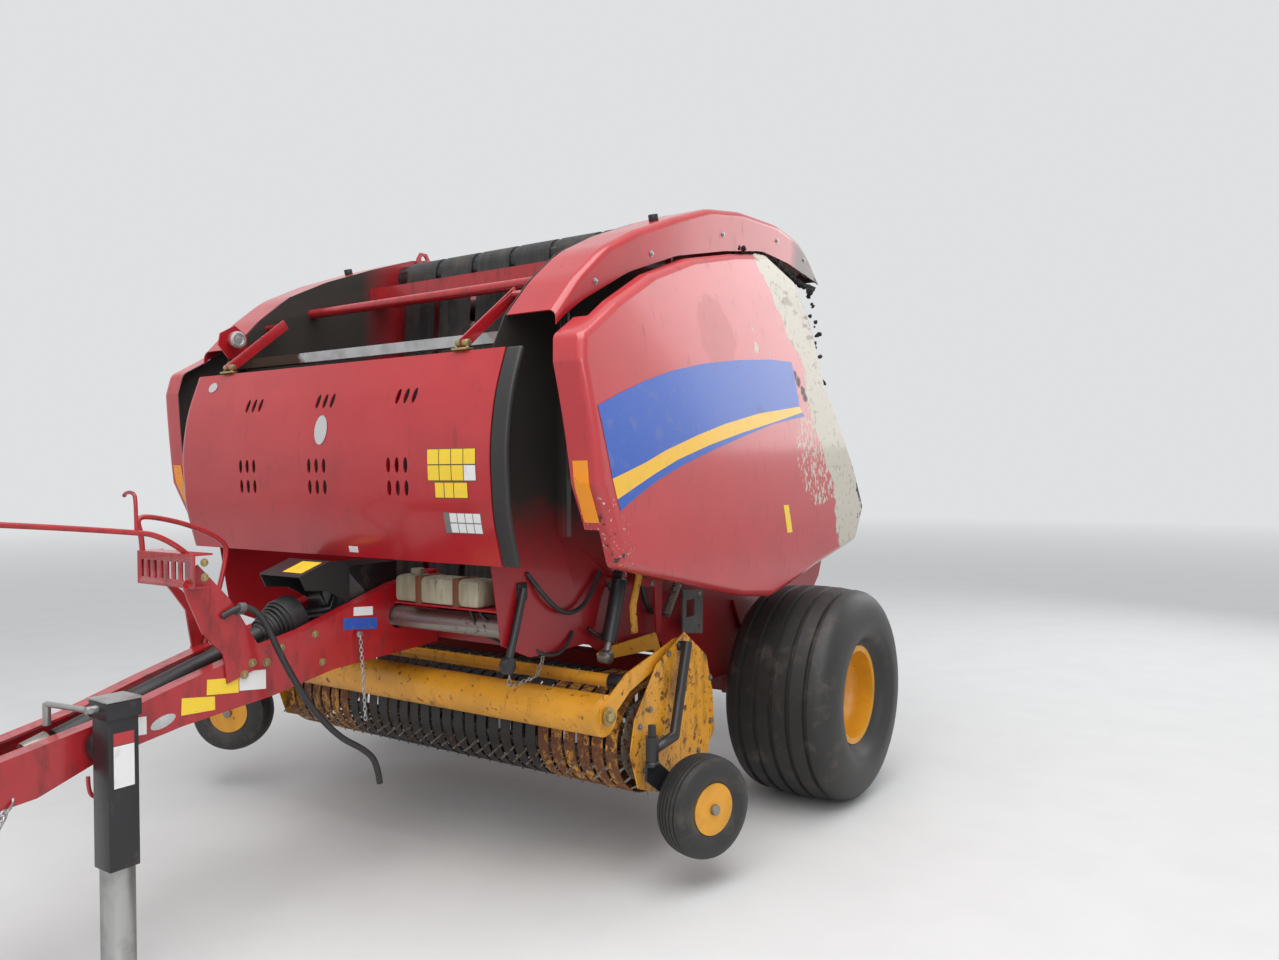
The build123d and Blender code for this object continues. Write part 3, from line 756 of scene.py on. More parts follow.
body_of_node = {}
for body, members in frame["record"]["behaviour"]["bodies"].items():
    for member in members:
        body_of_node[member] = body
finish_of_node = {name: finish for finish, names in NODE_FINISH.items() for name in names}
OWN_SHAPE = [
    "tyre_left", "tyre_right", "gauge_tyre_left", "gauge_tyre_right", "front_cover", "cover_seal",
    "shield_left", "shield_right", "deck_left", "deck_right", "hose_bracket", "jack_post",
]
SHARP = {"windguard": 18}
shapes = {}
for name, node in nodes.items():
    node.data.materials.clear()
    node.data.materials.append(FINISHES[finish_of_node[name]])
    if name in OWN_SHAPE:
        continue
    choose(node)
    bpy.ops.object.duplicate()
    copy = bpy.context.object
    del copy["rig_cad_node"]
    edit_mode()
    select_mesh()
    bpy.ops.mesh.remove_doubles(threshold=0.00001)
    object_mode()
    smooth(copy, SHARP.get(name, 30))
    modify(copy, "WEIGHTED_NORMAL", keep_sharp=True)
    shapes[name] = settle(copy, f"{name}_shape", finish_of_node[name], body_of_node[name], name)

# Bent and moulded panels

def rounded(points, radius, steps=5, closed=False):
    """A line in two axes with its corners rounded."""
    line = []
    for i, corner in enumerate(points):
        corner = Vector(corner)
        if not closed and i in (0, len(points) - 1):
            line.append(corner)
            continue
        before = Vector(points[i - 1]) - corner
        after = Vector(points[(i + 1) % len(points)]) - corner
        reach = min(radius / tan(before.angle(after) / 2), before.length * 0.48, after.length * 0.48)
        start, end = corner + before.normalized() * reach, corner + after.normalized() * reach
        for k in range(steps + 1):
            t = k / steps
            line.append((1 - t) ** 2 * start + 2 * t * (1 - t) * corner + t * t * end)
    return line


def swept(section, line):
    """A sheet: the section's points drawn along a line of y and z steps. Edit mode stays open."""
    obj = chain(section)
    select_mesh()
    for a, b in zip(line, line[1:]):
        extrude((0, b[0] - a[0], b[1] - a[1]))
    return obj


def pick(obj, kind, test):
    """Selects the faces or edges that pass a test, and stays in edit mode."""
    bpy.ops.mesh.select_mode(type=kind)
    bpy.ops.mesh.select_all(action="DESELECT")
    object_mode()
    for part in obj.data.polygons if kind == "FACE" else obj.data.edges:
        part.select = test(part)
    edit_mode()


def trim(point, way):
    """Cuts off what lies beyond a plane."""
    select_mesh()
    bpy.ops.mesh.bisect(plane_co=point, plane_no=way, clear_outer=True)


def face_out(obj, way):
    """Turns a sheet's faces so that its largest one looks along a direction."""
    largest = max(obj.data.polygons, key=lambda face: face.area)
    if largest.normal.dot(Vector(way)) < 0:
        choose(obj)
        edit_mode()
        select_mesh()
        bpy.ops.mesh.flip_normals()
        object_mode()


def thicken(obj, way, thickness=SHEET):
    """Gives a sheet its thickness, inwards from the side that looks along a direction."""
    face_out(obj, way)
    return modify(obj, "SOLIDIFY", thickness=thickness, offset=-1)


def settle_panel(obj, name, finish, body="frame"):
    """Smooths a panel and lets it take the place of the solid of that name."""
    smooth(obj, 38)
    modify(obj, "WEIGHTED_NORMAL", keep_sharp=True)
    shapes[name] = settle(obj, f"{name}_shape", finish, body, name)


def cut(obj, cutter):
    modify(obj, "BOOLEAN", operation="DIFFERENCE", solver="EXACT", object=cutter)
    choose(cutter)
    bpy.ops.object.delete()
    return obj


COVER_FACE = rounded([(-1.889, 1.228), (-1.935, 1.4), (-1.948, 1.62), (-1.922, 1.8), (-1.862, 1.963)], 0.7)
COVER_LEFT, COVER_RIGHT, COVER_BEND, COVER_REAR = 0.889, -0.929, 0.05, -1.781
y0, z0 = COVER_FACE[0]
section = [at(COVER_LEFT, y0, z0)]
for k in range(7):
    turn = pi / 2 * k / 6
    section.append(at(COVER_RIGHT + COVER_BEND * (1 - sin(turn)), y0 + COVER_BEND * (1 - cos(turn)), z0))
section.append(at(COVER_RIGHT, y0 + 0.25, z0))
cover = swept(section, COVER_FACE)
# The corner ends at COVER_REAR, and lower down on a slant
trim(at(0, COVER_REAR, 0), (0, 1, 0))
trim(at(0, COVER_REAR, 1.663), (0, 0.435, -0.1))
mend()
thicken(cover, (0, -1, 0))
# Vents in the cover: middle and height of each group, lean in degrees and spacing
VENTS = [(x, z, 2, 0.044) for z in (1.57, 1.489) for x in (-0.433, 0.002, 0.446)]
VENTS += [(x, 1.815, 12, 0.042) for x in (-0.425, 0.021, 0.466)]


def slot(place, turn, scale):
    """A long round peg that cuts one vent."""
    clear_selection()
    bpy.ops.mesh.primitive_cylinder_add(
        vertices=20, radius=0.011, depth=0.12, location=place, rotation=turn, scale=scale)
    return bpy.context.object


slots = [slot(at(x + k * pitch, -1.93, z), (radians(90), radians(lean), 0), (1, 2.6, 1))
         for x, z, lean, pitch in VENTS for k in (-1, 0, 1)]
slots += [slot(at(COVER_RIGHT, y, z), (0, radians(90), 0), (2.6, 1, 1))
          for z in (1.57, 1.486) for y in (-1.872, -1.832)]
cut(cover, joined(slots))
settle_panel(cover, "front_cover", "panel_red", "front_cover")

seal = plate(side_line(0.8905, COVER_FACE)
             + [at(0.8905, y + 0.022, z) for y, z in reversed(COVER_FACE)], (0.069, 0, 0))
modify(seal, "BEVEL", width=0.009, segments=3, angle_limit=radians(60))
settle(smooth(seal, 40), "cover_seal_shape", "seal", "front_cover", "cover_seal")

DECK_TOP = rounded([(-1.759, 2.09), (-1.632, 2.226), (-1.474, 2.353), (-1.26, 2.456), (-0.985, 2.56),
                    (-0.72, 2.65), (-0.44, 2.695), (-0.09, 2.708), (0.195, 2.669), (0.385, 2.507)], 0.5)
SKIRT_LOW = rounded([(-1.9, 1.9), (-1.729, 2.068), (-1.605, 2.144), (-1.333, 2.281), (-1.0, 2.398),
                     (-0.612, 2.486), (-0.256, 2.549), (0.013, 2.54), (0.355, 2.495), (0.6, 2.46)], 0.5)
SHOULDER = 0.035
for name, side in SIDES:
    y0, z0 = DECK_TOP[0]
    section = [at(side * 0.8015, y0, z0)]
    for k in range(6):
        turn = pi / 2 * k / 5
        section.append(at(side * (1.025 - SHOULDER * (1 - sin(turn))), y0, z0 - SHOULDER * (1 - cos(turn))))
    section.append(at(side * 1.025, y0, z0 - 0.3))
    deck = swept(section, DECK_TOP)
    mend()
    thicken(deck, (side, 0, 1))
    low = side_line(side * 0.95, SKIRT_LOW)
    below = plate(low + [at(side * 0.95, 0.6, 1.4), at(side * 0.95, -1.9, 1.4)], (side * 0.12, 0, 0))
    cut(deck, below)
    settle_panel(deck, f"deck_{name}", "deck_red" if side > 0 else "panel_red")

SHIELD_EDGE = rounded([
    (-1.832, 1.99), (-1.85, 1.9), (-1.8, 1.5), (-1.74, 1.37), (-1.68, 1.22), (-1.3, 1.14),
    (-0.8, 1.03), (-0.53, 0.995), (-0.4, 1.02), (-0.1, 1.09), (0.37, 1.18), (0.46, 1.35),
    (0.27, 1.66), (0.07, 1.95), (0.04, 2.23), (-0.02, 2.44), (-0.27, 2.53), (-0.612, 2.47),
    (-1.0, 2.382), (-1.333, 2.265), (-1.605, 2.128), (-1.73, 2.05)], 0.045, 4, True)
RIM, RIM_ROUND, RIM_STEPS = 0.06, 0.03, 5
# The skin bows outwards over its height, on a circle in the front view
BOW_CENTRE, BOW_R = (-2.2674, 1.4179), 3.5038
GOOSE = [(0.988, 2.568), (1.012, 2.568), (1.012, 2.548), (0.895, 2.534), (0.878, 2.5), (0.878, 2.4),
         (0.92, 2.365), (1.113, 2.325), (1.119, 2.285), (0.905, 2.33), (0.85, 2.385), (0.85, 2.52),
         (0.88, 2.562)]
for name, side in SIDES:
    shield = filled(side_line(-RIM, SHIELD_EDGE), 0.0005)
    object_mode()
    bpy.ops.object.transform_apply(location=True, rotation=False, scale=False)
    edit_mode()
    extrude((RIM - RIM_ROUND, 0, 0))
    bpy.ops.mesh.normals_make_consistent(inside=False)
    for k in range(RIM_STEPS):
        a, b = (pi / 2 * (k + i) / RIM_STEPS for i in (0, 1))
        bpy.ops.mesh.inset(thickness=RIM_ROUND * (cos(a) - cos(b)), depth=RIM_ROUND * (sin(b) - sin(a)))
    select_mesh()
    bpy.ops.mesh.normals_make_consistent(inside=False)
    pick(shield, "FACE", lambda face: face.normal.x < -0.9)
    bpy.ops.mesh.delete(type="FACE")
    bpy.ops.mesh.select_mode(type="VERT")
    for k in range(28):
        select_mesh()
        bpy.ops.mesh.bisect(plane_co=(0, 0, 1.02 + 0.055 * k), plane_no=(0, 0, 1))
    spots = shield.data.vertices
    pick(shield, "EDGE", lambda edge: all(
        abs(spots[i].co.x + RIM) < 1e-4 and spots[i].co.y < AXLE_Y - 1.7 and spots[i].co.z > 1.3
        for i in edge.vertices))
    extrude((-RIM, 0, 0))
    bpy.ops.mesh.select_mode(type="VERT")
    object_mode()
    for vertex in shield.data.vertices:
        rise = vertex.co.z - BOW_CENTRE[1]
        vertex.co.x = side * (vertex.co.x + BOW_CENTRE[0] + (BOW_R ** 2 - rise ** 2) ** 0.5)
    thicken(shield, (side, 0, 0))
    arms = [plate([at(side * x, y - 0.006, z) for x, z in GOOSE], (0, 0.012, 0)) for y in (-0.8, -0.25)]
    shield = joined([shield] + arms)
    finish = "shield_red" if side > 0 else "plain_shield_red"
    settle_panel(shield, f"shield_{name}", finish, f"shield_{name}")

# Main tyres with six ribs on the tread, and the gauge wheels' finely grooved ones

def tyre_profile(side):
    crown = [(0.222, 0.466), (0.2, 0.478)]
    ribs = []
    for middle in (-0.16, -0.08, 0.0, 0.08, 0.16):
        top = 0.492 - 0.35 * middle * middle
        ribs += [
            (middle - 0.012, top), (middle - 0.007, top - 0.013),
            (middle + 0.007, top - 0.013), (middle + 0.012, top),
        ]
    left = [(-along, radius) for along, radius in crown]
    shoulder = [(0.236, 0.452), (0.25, 0.43), (0.262, 0.4), (0.269, 0.36), (0.27, 0.33),
                (0.266, 0.305), (0.262, 0.3), (0.26, 0.29), (0.246, 0.268), (0.232, 0.256),
                (0.21, 0.242), (0.204, 0.232), (0.19, 0.2075)]
    far = [(-along, radius) for along, radius in shoulder]
    outer = list(reversed(far)) + left + ribs + list(reversed(crown)) + shoulder
    return [(side * along, radius) for along, radius in outer]


GAUGE_PROFILE = [(-0.0545, 0.0955), (-0.066, 0.108), (-0.0725, 0.13), (-0.07, 0.155), (-0.06, 0.176)]
for middle in (-0.036, -0.018, 0.0, 0.018, 0.036):
    top = 0.188 - 3.0 * middle * middle
    GAUGE_PROFILE += [(middle - 0.004, top), (middle - 0.002, top - 0.005),
                      (middle + 0.002, top - 0.005), (middle + 0.004, top)]
GAUGE_PROFILE += [(-along, radius) for along, radius in reversed(GAUGE_PROFILE[:5])]

BOLT_CIRCLE, GAUGE_BOLT_CIRCLE = 0.112, 0.05
# Gauge wheels: middle of the hub, and the spin axis turned about Z in degrees
GAUGES = {
    "left": ((1.25337, -1.20139, 0.3), -16),
    "right": ((-1.22222, -1.50294, 0.385), 300),
}
for name, side in SIDES:
    hub = at(side * WHEEL_X, 0, WHEEL_Z)
    tyre = lathe(tyre_profile(side), hub, (1, 0, 0), 112)
    settle(tyre, f"tyre_shape_{name}", "rubber", f"wheel_{name}", f"tyre_{name}")
    rows = []
    for k in range(8):
        turn = FULL_TURN * k / 8
        spoke = Vector((-side * 0.059, BOLT_CIRCLE * cos(turn), BOLT_CIRCLE * sin(turn)))
        rows.append((hub + spoke, (side, 0, 0), 0.013))
    bolts(f"wheel_bolts_{name}", rows, "gold_zinc", f"wheel_{name}")
    cap = drum(hub + Vector((side * 0.024, 0, 0)), (1, 0, 0), 0.044, 0.03, 32, 0.008)
    settle(cap, f"hub_cap_{name}", "grey", f"wheel_{name}")
    centre, turn = GAUGES[name]
    out = Vector((cos(radians(turn)), sin(radians(turn)), 0))
    tyre = lathe(GAUGE_PROFILE, at(*centre), out, 64)
    settle(tyre, f"gauge_tyre_shape_{name}", "rubber", f"gauge_wheel_{name}", f"gauge_tyre_{name}")
    rows = []
    across = Vector((0, 0, 1)).cross(out)
    for k in range(5):
        a = FULL_TURN * (k + 0.3) / 5
        spoke = (across * cos(a) + Vector((0, 0, 1)) * sin(a)) * GAUGE_BOLT_CIRCLE
        rows.append((at(*centre) + out * 0.01 + spoke, out, 0.008))
    bolts(f"gauge_bolts_{name}", rows, "gold_zinc", f"gauge_wheel_{name}")
    cap = drum(at(*centre) + out * 0.064, out, 0.02, 0.02, 24, 0.004)
    settle(cap, f"gauge_cap_{name}", "steel", f"gauge_wheel_{name}")

# Shields: plain bands, labels and reflectors

BAND_TOP = [(-1.793, 1.757), (-1.666, 1.804), (-1.498, 1.858), (-1.316, 1.906),
            (-1.077, 1.952), (-0.791, 1.99), (-0.495, 2.018), (-0.281, 2.025)]
STRIPE_TOP = [(-1.737, 1.52), (-1.65, 1.543), (-1.537, 1.574), (-1.408, 1.616),
              (-1.173, 1.677), (-0.964, 1.724), (-0.661, 1.778), (-0.263, 1.824)]
STRIPE_LOW = [(-1.712, 1.452), (-1.622, 1.485), (-1.491, 1.532), (-1.332, 1.583),
              (-1.099, 1.639), (-0.839, 1.691), (-0.546, 1.743), (-0.241, 1.799)]
BAND_LOW = [(-1.693, 1.414), (-1.592, 1.462), (-1.459, 1.514), (-1.297, 1.564),
            (-1.081, 1.619), (-0.841, 1.674), (-0.547, 1.737), (-0.216, 1.784)]
for name, side in SIDES:
    body = f"shield_{name}"
    panel = shapes[body]
    lines = [side_line(side * BESIDE_SHIELD, line) for line in (BAND_TOP, STRIPE_TOP, STRIPE_LOW, BAND_LOW)]
    for part, finish, upper, lower in (("band", "blue", 0, 1), ("stripe", "stripe", 1, 2), ("edge", "blue", 2, 3)):
        strip(f"shield_{part}_{name}", lines[lower], lines[upper], panel, finish, body)
    corners = side_line(side * BESIDE_SHIELD, ((-0.478, 1.388), (-0.428, 1.388), (-0.385, 1.266), (-0.435, 1.266)))
    label(f"shield_label_{name}", corners, panel, "x", "label_yellow", body)
    corners = [at(side * x, -1.95, z) for x, z in ((1.13, 1.58), (1.192, 1.58), (1.188, 1.375), (1.126, 1.375))]
    label(f"shield_reflector_{name}", corners, panel, "y", "reflector", body, 0.002)

# Front cover: blank labels in cells, two oval badges and zinc hinges

cover = shapes["front_cover"]
COVER_LABELS = [
    # name, left, right, bottom, top, finish
    ("upper", 0.6, 0.828, 1.515, 1.625, "print"),
    ("lower", 0.632, 0.787, 1.456, 1.511, "print"),
    ("white", 0.664, 0.836, 1.337, 1.407, "print_grey"),
    ("small", 0.13, 0.18, 1.246, 1.269, "label_white"),
]
for name, x0, x1, z0, z1, finish in COVER_LABELS:
    corners = [at(x, BEFORE_COVER, z) for x, z in ((x0, z0), (x1, z0), (x1, z1), (x0, z1))]
    label(f"cover_label_{name}", corners, cover, "y", finish, "front_cover")
grid = [(0.6 + 0.057 * k, 0.657 + 0.057 * k, z, z + 0.055) for z in (1.515, 1.57) for k in range(4)]
yellow_tiles = [cell for cell in grid if cell != grid[3]]
yellow_tiles += [(x0, x1, 1.456, 1.511) for x0, x1 in ((0.632, 0.677), (0.677, 0.722), (0.722, 0.787))]
tiles("cover_tiles_yellow", yellow_tiles, 0.004, cover, "label_yellow", "front_cover")
white_tiles = [(0.69 + 0.0365 * k, 0.7265 + 0.0365 * k, z, z + 0.035) for z in (1.337, 1.372) for k in range(4)]
tiles("cover_tiles_white", [grid[3]] + white_tiles, 0.004, cover, "label_white", "front_cover")
for name, x, z, wide, high in (("middle", 0.022, 1.706, 0.036, 0.056), ("corner", -0.757, 1.908, 0.03, 0.021)):
    corners = []
    for k in range(20):
        turn = FULL_TURN * k / 20
        corners.append(at(x + wide * cos(turn), BEFORE_COVER, z + high * sin(turn)))
    label(f"cover_badge_{name}", corners, cover, "y", "badge", "front_cover", 0.002)
for name, side in SIDES:
    parts = [
        box(at(side * 0.685 - 0.036, -1.876, 1.966), at(side * 0.685 + 0.036, -1.84, 1.974), 0.002),
        drum(at(side * 0.685, -1.852, 1.992), (1, 0, 0), 0.0125, 0.06, 20, 0.002),
    ]
    settle(joined(parts), f"cover_hinge_{name}", "gold_zinc", "front_cover")
    rows = [(at(side * 0.685 + dx, -1.858, 1.974), (0, 0, 1), 0.006) for dx in (-0.026, 0.026)]
    bolts(f"cover_hinge_bolts_{name}", rows, "gold_zinc", "front_cover")

# Drawbar: blank labels, bolts, chains, a hook and the hose bracket

def on_rail(y, z, out=0.0):
    """A point on the left rail's outer face, which turns out to the rear."""
    return at(0.1083 + 0.04412 * (y + 3.25) + out, y, z)


RAIL_OUT = Vector((1, -0.0441, 0)).normalized()
RAIL_LABELS = [
    # name, finish, corners as y and z
    ("long", "label_yellow", [(-2.488, 0.824), (-2.376, 0.812), (-2.376, 0.863), (-2.486, 0.874)]),
    ("plain", "label_white", [(-2.373, 0.817), (-2.275, 0.806), (-2.275, 0.872), (-2.373, 0.882)]),
    ("front", "label_yellow", [(-2.574, 0.775), (-2.46, 0.771), (-2.46, 0.815), (-2.571, 0.83)]),
    ("jack", "label_white", [(-2.737, 0.744), (-2.684, 0.741), (-2.684, 0.796), (-2.737, 0.8)]),
    ("pale", "label_white", [(-1.912, 1.01), (-1.824, 1.003), (-1.824, 1.036), (-1.91, 1.042)]),
    ("blue", "blue", [(-1.958, 0.965), (-1.805, 0.947), (-1.805, 0.991), (-1.957, 1.007)]),
]
for name, finish, corners in RAIL_LABELS:
    piece = plate([on_rail(y, z, LABEL_GAP) for y, z in corners], RAIL_OUT * LABEL_THICKNESS)
    settle(piece, f"rail_label_{name}", finish)
oval = []
for k in range(20):
    turn = FULL_TURN * k / 20
    oval.append(on_rail(-2.632 + 0.04 * cos(turn), 0.768 + 0.019 * sin(turn) + 0.01 * cos(turn), LABEL_GAP))
settle(plate(oval, RAIL_OUT * LABEL_THICKNESS), "rail_label_oval", "badge")
near_bolts = [on_rail(y, z, LABEL_GAP) for y, z in ((-2.215, 0.937), (-2.078, 0.966), (-2.05, 0.861))]
rows = [(place, RAIL_OUT, 0.009) for place in near_bolts]
rows += [(on_rail(y, z, 0.0082), RAIL_OUT, 0.01) for y, z in ((-2.277, 0.898), (-2.33, 0.905), (-2.36, 0.87))]
rows += [(at(0.19, -2.52, z), (1, 0, 0), 0.009) for z in (1.215, 1.262)]
bolts("drawbar_bolts", rows, "gold_zinc")
far_out = mirrored([RAIL_OUT])[0]
bolts("drawbar_bolts_right", [(place, far_out, 0.009) for place in mirrored(near_bolts)], "gold_zinc")
links("rail_chain", [on_rail(-1.9, 0.935, 0.022), on_rail(-1.893, 0.8, 0.026), on_rail(-1.885, 0.62, 0.028)],
      0.0075, "zinc")
eyelet = drum(on_rail(-1.9, 0.94, 0.018), RAIL_OUT, 0.012, 0.012, 16, 0.002)
settle(eyelet, "rail_chain_eye", "zinc")
links("hitch_chain", [at(0.112, -3.06, 0.64), at(0.135, -3.12, 0.56), at(0.118, -3.185, 0.5),
                      at(0.085, -3.22, 0.47), at(0.045, -3.235, 0.52), at(0.062, -3.262, 0.585)],
      0.015, "zinc")
links("hitch_chain_loose", [at(0.128, -3.09, 0.6), at(0.14, -3.15, 0.5), at(0.125, -3.165, 0.4)],
      0.013, "zinc")
hook = rod([(0.13, -2.86, 0.655), (0.13, -2.86, 0.61), (0.13, -2.84, 0.585),
            (0.13, -2.81, 0.6), (0.13, -2.81, 0.625)], 0.006)
settle(hook, "rail_hook", "frame_red")
loop = rod([(0.12, -2.7, 1.362), (0.12, -2.7, 1.47), (0.105, -2.7, 1.49),
            (0.06, -2.7, 1.49), (0.05, -2.7, 1.478)], 0.006)
settle(loop, "hose_loop", "frame_red")

NEAR_PLATE = [(-2.42, 0.85), (-2.25, 0.9), (-2.295, 0.943), (-2.405, 1.127), (-2.516, 1.252),
              (-2.568, 1.193), (-2.552, 1.144), (-2.502, 1.025), (-2.433, 0.948)]
FAR_ARM = [(-2.4, 0.85), (-2.3, 0.88), (-2.312, 0.968), (-2.342, 1.061), (-2.397, 1.138),
           (-2.483, 1.2), (-2.433, 1.135), (-2.383, 1.066), (-2.362, 0.939)]
holder = box(at(-0.142, -2.556, 1.18), at(0.19, -2.55, 1.29))
cut(holder, joined([box(at(x - 0.009, -2.57, 1.205), at(x + 0.009, -2.54, 1.262))
                    for x in (-0.11, -0.07, -0.03, 0.01, 0.05, 0.09, 0.13)]))
bracket = joined([
    holder,
    plate([on_rail(y, z, 0.0001) for y, z in NEAR_PLATE], RAIL_OUT * 0.008),
    plate(mirrored([on_rail(y, z, 0.0001) for y, z in FAR_ARM]), (-0.008, -0.0003, 0)),
    box(at(-0.142, -2.5505, 1.284), at(0.19, -2.49, 1.29)),
    box(at(0.136, -2.5505, 1.18), at(0.19, -2.5, 1.186)),
    box(at(-0.142, -2.5505, 1.18), at(-0.132, -2.47, 1.2895)),
    rod([(0.12, -2.53, 1.28), (0.12, -2.56, 1.31), (0.12, -2.64, 1.356), (0.12, -2.7, 1.366),
         (0.12, -2.978, 1.4), (0.12, -3.18, 1.42)], 0.009),
    rod([(-0.137, -2.54, 1.24), (-0.137, -2.54, 1.33), (-0.137, -2.563, 1.402), (-0.137, -2.5, 1.4),
         (-0.137, -2.368, 1.365), (-0.137, -2.235, 1.3), (-0.137, -2.23, 1.24), (-0.137, -2.3, 1.0),
         (-0.137, -2.32, 0.94)], 0.009),
])
settle(bracket, "hose_bracket_shape", "frame_red", "frame", "hose_bracket")

# Jack: post, zinc crank, cap and labels

JACK_X, JACK_Y, JACK_HALF = 0.222, -2.825, 0.045


def jack_tube(half, wall, z0, z1):
    tube = box(at(JACK_X - half, JACK_Y - half, z0), at(JACK_X + half, JACK_Y + half, z1), 0.004)
    inner = half - wall
    hollow = box(at(JACK_X - inner, JACK_Y - inner, z0 - 0.01), at(JACK_X + inner, JACK_Y + inner, z1 - wall))
    return cut(tube, hollow)


post = joined([
    jack_tube(JACK_HALF, 0.004, 0.4, 0.884),
    jack_tube(0.052, 0.006, 0.84, 0.8904),
    box(at(0.1284, JACK_Y - 0.03, 0.715), at(0.178, JACK_Y + 0.03, 0.775), 0.002),
    drum(at(0.157, JACK_Y, 0.745), (1, 0, 0), 0.048, 0.042, 32, 0.003),
])
settle(post, "jack_post_shape", "black", "frame", "jack_post")
crank = joined([
    rod([(JACK_X, -2.872, 0.872), (JACK_X, -2.909, 0.872)], 0.0116, False),
    rod([(JACK_X + 0.012, -2.9, 0.872), (-0.028, -2.9, 0.858)], 0.0086, False),
    rod([(-0.028, -2.9, 0.862), (-0.028, -2.9, 0.794)], 0.0116, False),
])
settle(crank, "jack_crank", "zinc")
cap = box(at(JACK_X - 0.053, JACK_Y - 0.053, 0.8905), at(JACK_X + 0.053, JACK_Y + 0.053, 0.898), 0.003)
settle(cap, "jack_cap", "zinc")
for name, z0, z1, finish in (("white", 0.64, 0.762, "label_white"), ("red", 0.764, 0.8, "panel_red")):
    label_x = JACK_X + JACK_HALF + 0.0001
    piece = box(at(label_x, JACK_Y - 0.03, z0), at(label_x + LABEL_THICKNESS, JACK_Y + 0.03, z1))
    settle(piece, f"jack_label_{name}", finish)

# Drive shaft: bellows with rings, and a roof with a blank label

def on_shroud(x, y):
    return at(x, y, 1.1722 + (y + 2.109) * 46 / 131)


shaft_way = Vector((0, cos(0.30288), sin(0.30288)))
shaft_rear = at(0, -2.03, 1.02)
bellows = lathe([(-0.178, 0.036), (-0.13, 0.064), (-0.112, 0.055), (-0.07, 0.086), (-0.02, 0.086), (-0.02, 0.08),
                 (-0.074, 0.08), (-0.114, 0.048), (-0.132, 0.056), (-0.178, 0.0335)], shaft_rear, shaft_way, 48)
settle(bellows, "shaft_bellows", "plastic")
ROOF = [(-2.109, 1.172), (-1.978, 1.218), (-1.89, 1.205)]
ROOF_SIDE = ROOF + [(-1.89, 1.06), (-1.9, 1.06), (-1.99, 1.11), (-2.085, 1.12)]
roof = swept([at(-0.12, *ROOF[0]), at(0.12, *ROOF[0])], ROOF)
mend()
thicken(roof, (0, 0, 1), 0.005)
roof = joined([roof, box(at(-0.12, -1.898, 1.0), at(0.12, -1.89, 1.203))] + [
    plate([at(side * 0.1145, y, z - 0.001) for y, z in ROOF_SIDE], (side * 0.005, 0, 0)) for side in (1, -1)])
settle(smooth(roof), "shaft_roof", "plastic")
piece = plate([on_shroud(x, y) for x, y in ((-0.015, -2.085), (0.095, -2.085), (0.095, -1.995), (-0.015, -1.995))],
              (0, -0.0003, 0.0007))
settle(piece, "shroud_label", "label_yellow")
rings = []
for k in range(7):
    along, radius = -0.165 + 0.0145 * k, 0.046 + 0.006 * k
    clear_selection()
    bpy.ops.mesh.primitive_torus_add(
        major_segments=40, minor_segments=8, major_radius=radius, minor_radius=0.005,
        location=shaft_rear + shaft_way * along, rotation=shaft_way.to_track_quat("Z", "Y").to_euler())
    rings.append(smooth(bpy.context.object, 60))
settle(joined(rings), "guard_rings", "plastic")

# Oil bottle on its shelf, and the top frame's lifting eye, stop arm and side plate with a disc

bottle = joined([
    box(at(0.27, -1.805, 1.0605), at(0.7, -1.695, 1.16), 0.018),
    drum(at(0.34, -1.75, 1.168), (0, 0, 1), 0.026, 0.03, 24, 0.004),
    box(at(0.27, -1.805, 1.054), at(0.79, -1.695, 1.0602), 0.002),
] + [box(at(x - 0.015, -1.808, 1.056), at(x + 0.015, -1.692, 1.163), 0.004) for x in (0.4, 0.59)])
settle(bottle, "oil_bottle", "bottle")
eye = plate(side_line(-0.79, (
    (-0.69, 2.6), (-0.69, 2.665), (-0.668, 2.7), (-0.622, 2.7), (-0.6, 2.665), (-0.6, 2.6),
)), (0.012, 0, 0))
cut(eye, drum(at(-0.784, -0.645, 2.668), (1, 0, 0), 0.019, 0.06, 24))
arm = joined([
    plate(side_line(-0.79, ((-0.54, 2.58), (-0.59, 2.6), (-0.59, 2.64), (-0.27, 2.703),
                                         (-0.24, 2.69), (-0.25, 2.65))), (0.008, 0, 0)),
    drum(at(-0.765, -0.262, 2.679), (1, 0, 0), 0.026, 0.05, 24, 0.003),
])
ear = joined([
    plate(side_line(-0.79, ((-1.79, 2.04), (-1.7, 2.04), (-1.7, 2.15), (-1.76, 2.19),
                                         (-1.83, 2.15), (-1.84, 2.1))), (0.006, 0, 0)),
    drum(at(-0.765, -1.785, 2.12), (1, 0, 0), 0.012, 0.06, 20),
    drum(at(-0.731, -1.785, 2.12), (1, 0, 0), 0.038, 0.018, 40, 0.002),
])
for name, piece in (("lifting_eye", eye), ("stop_arm", arm), ("disc_plate", ear)):
    settle(smooth(piece, 40), name, "frame_red")

# Lever work and hydraulics between the left side sheet and the shield

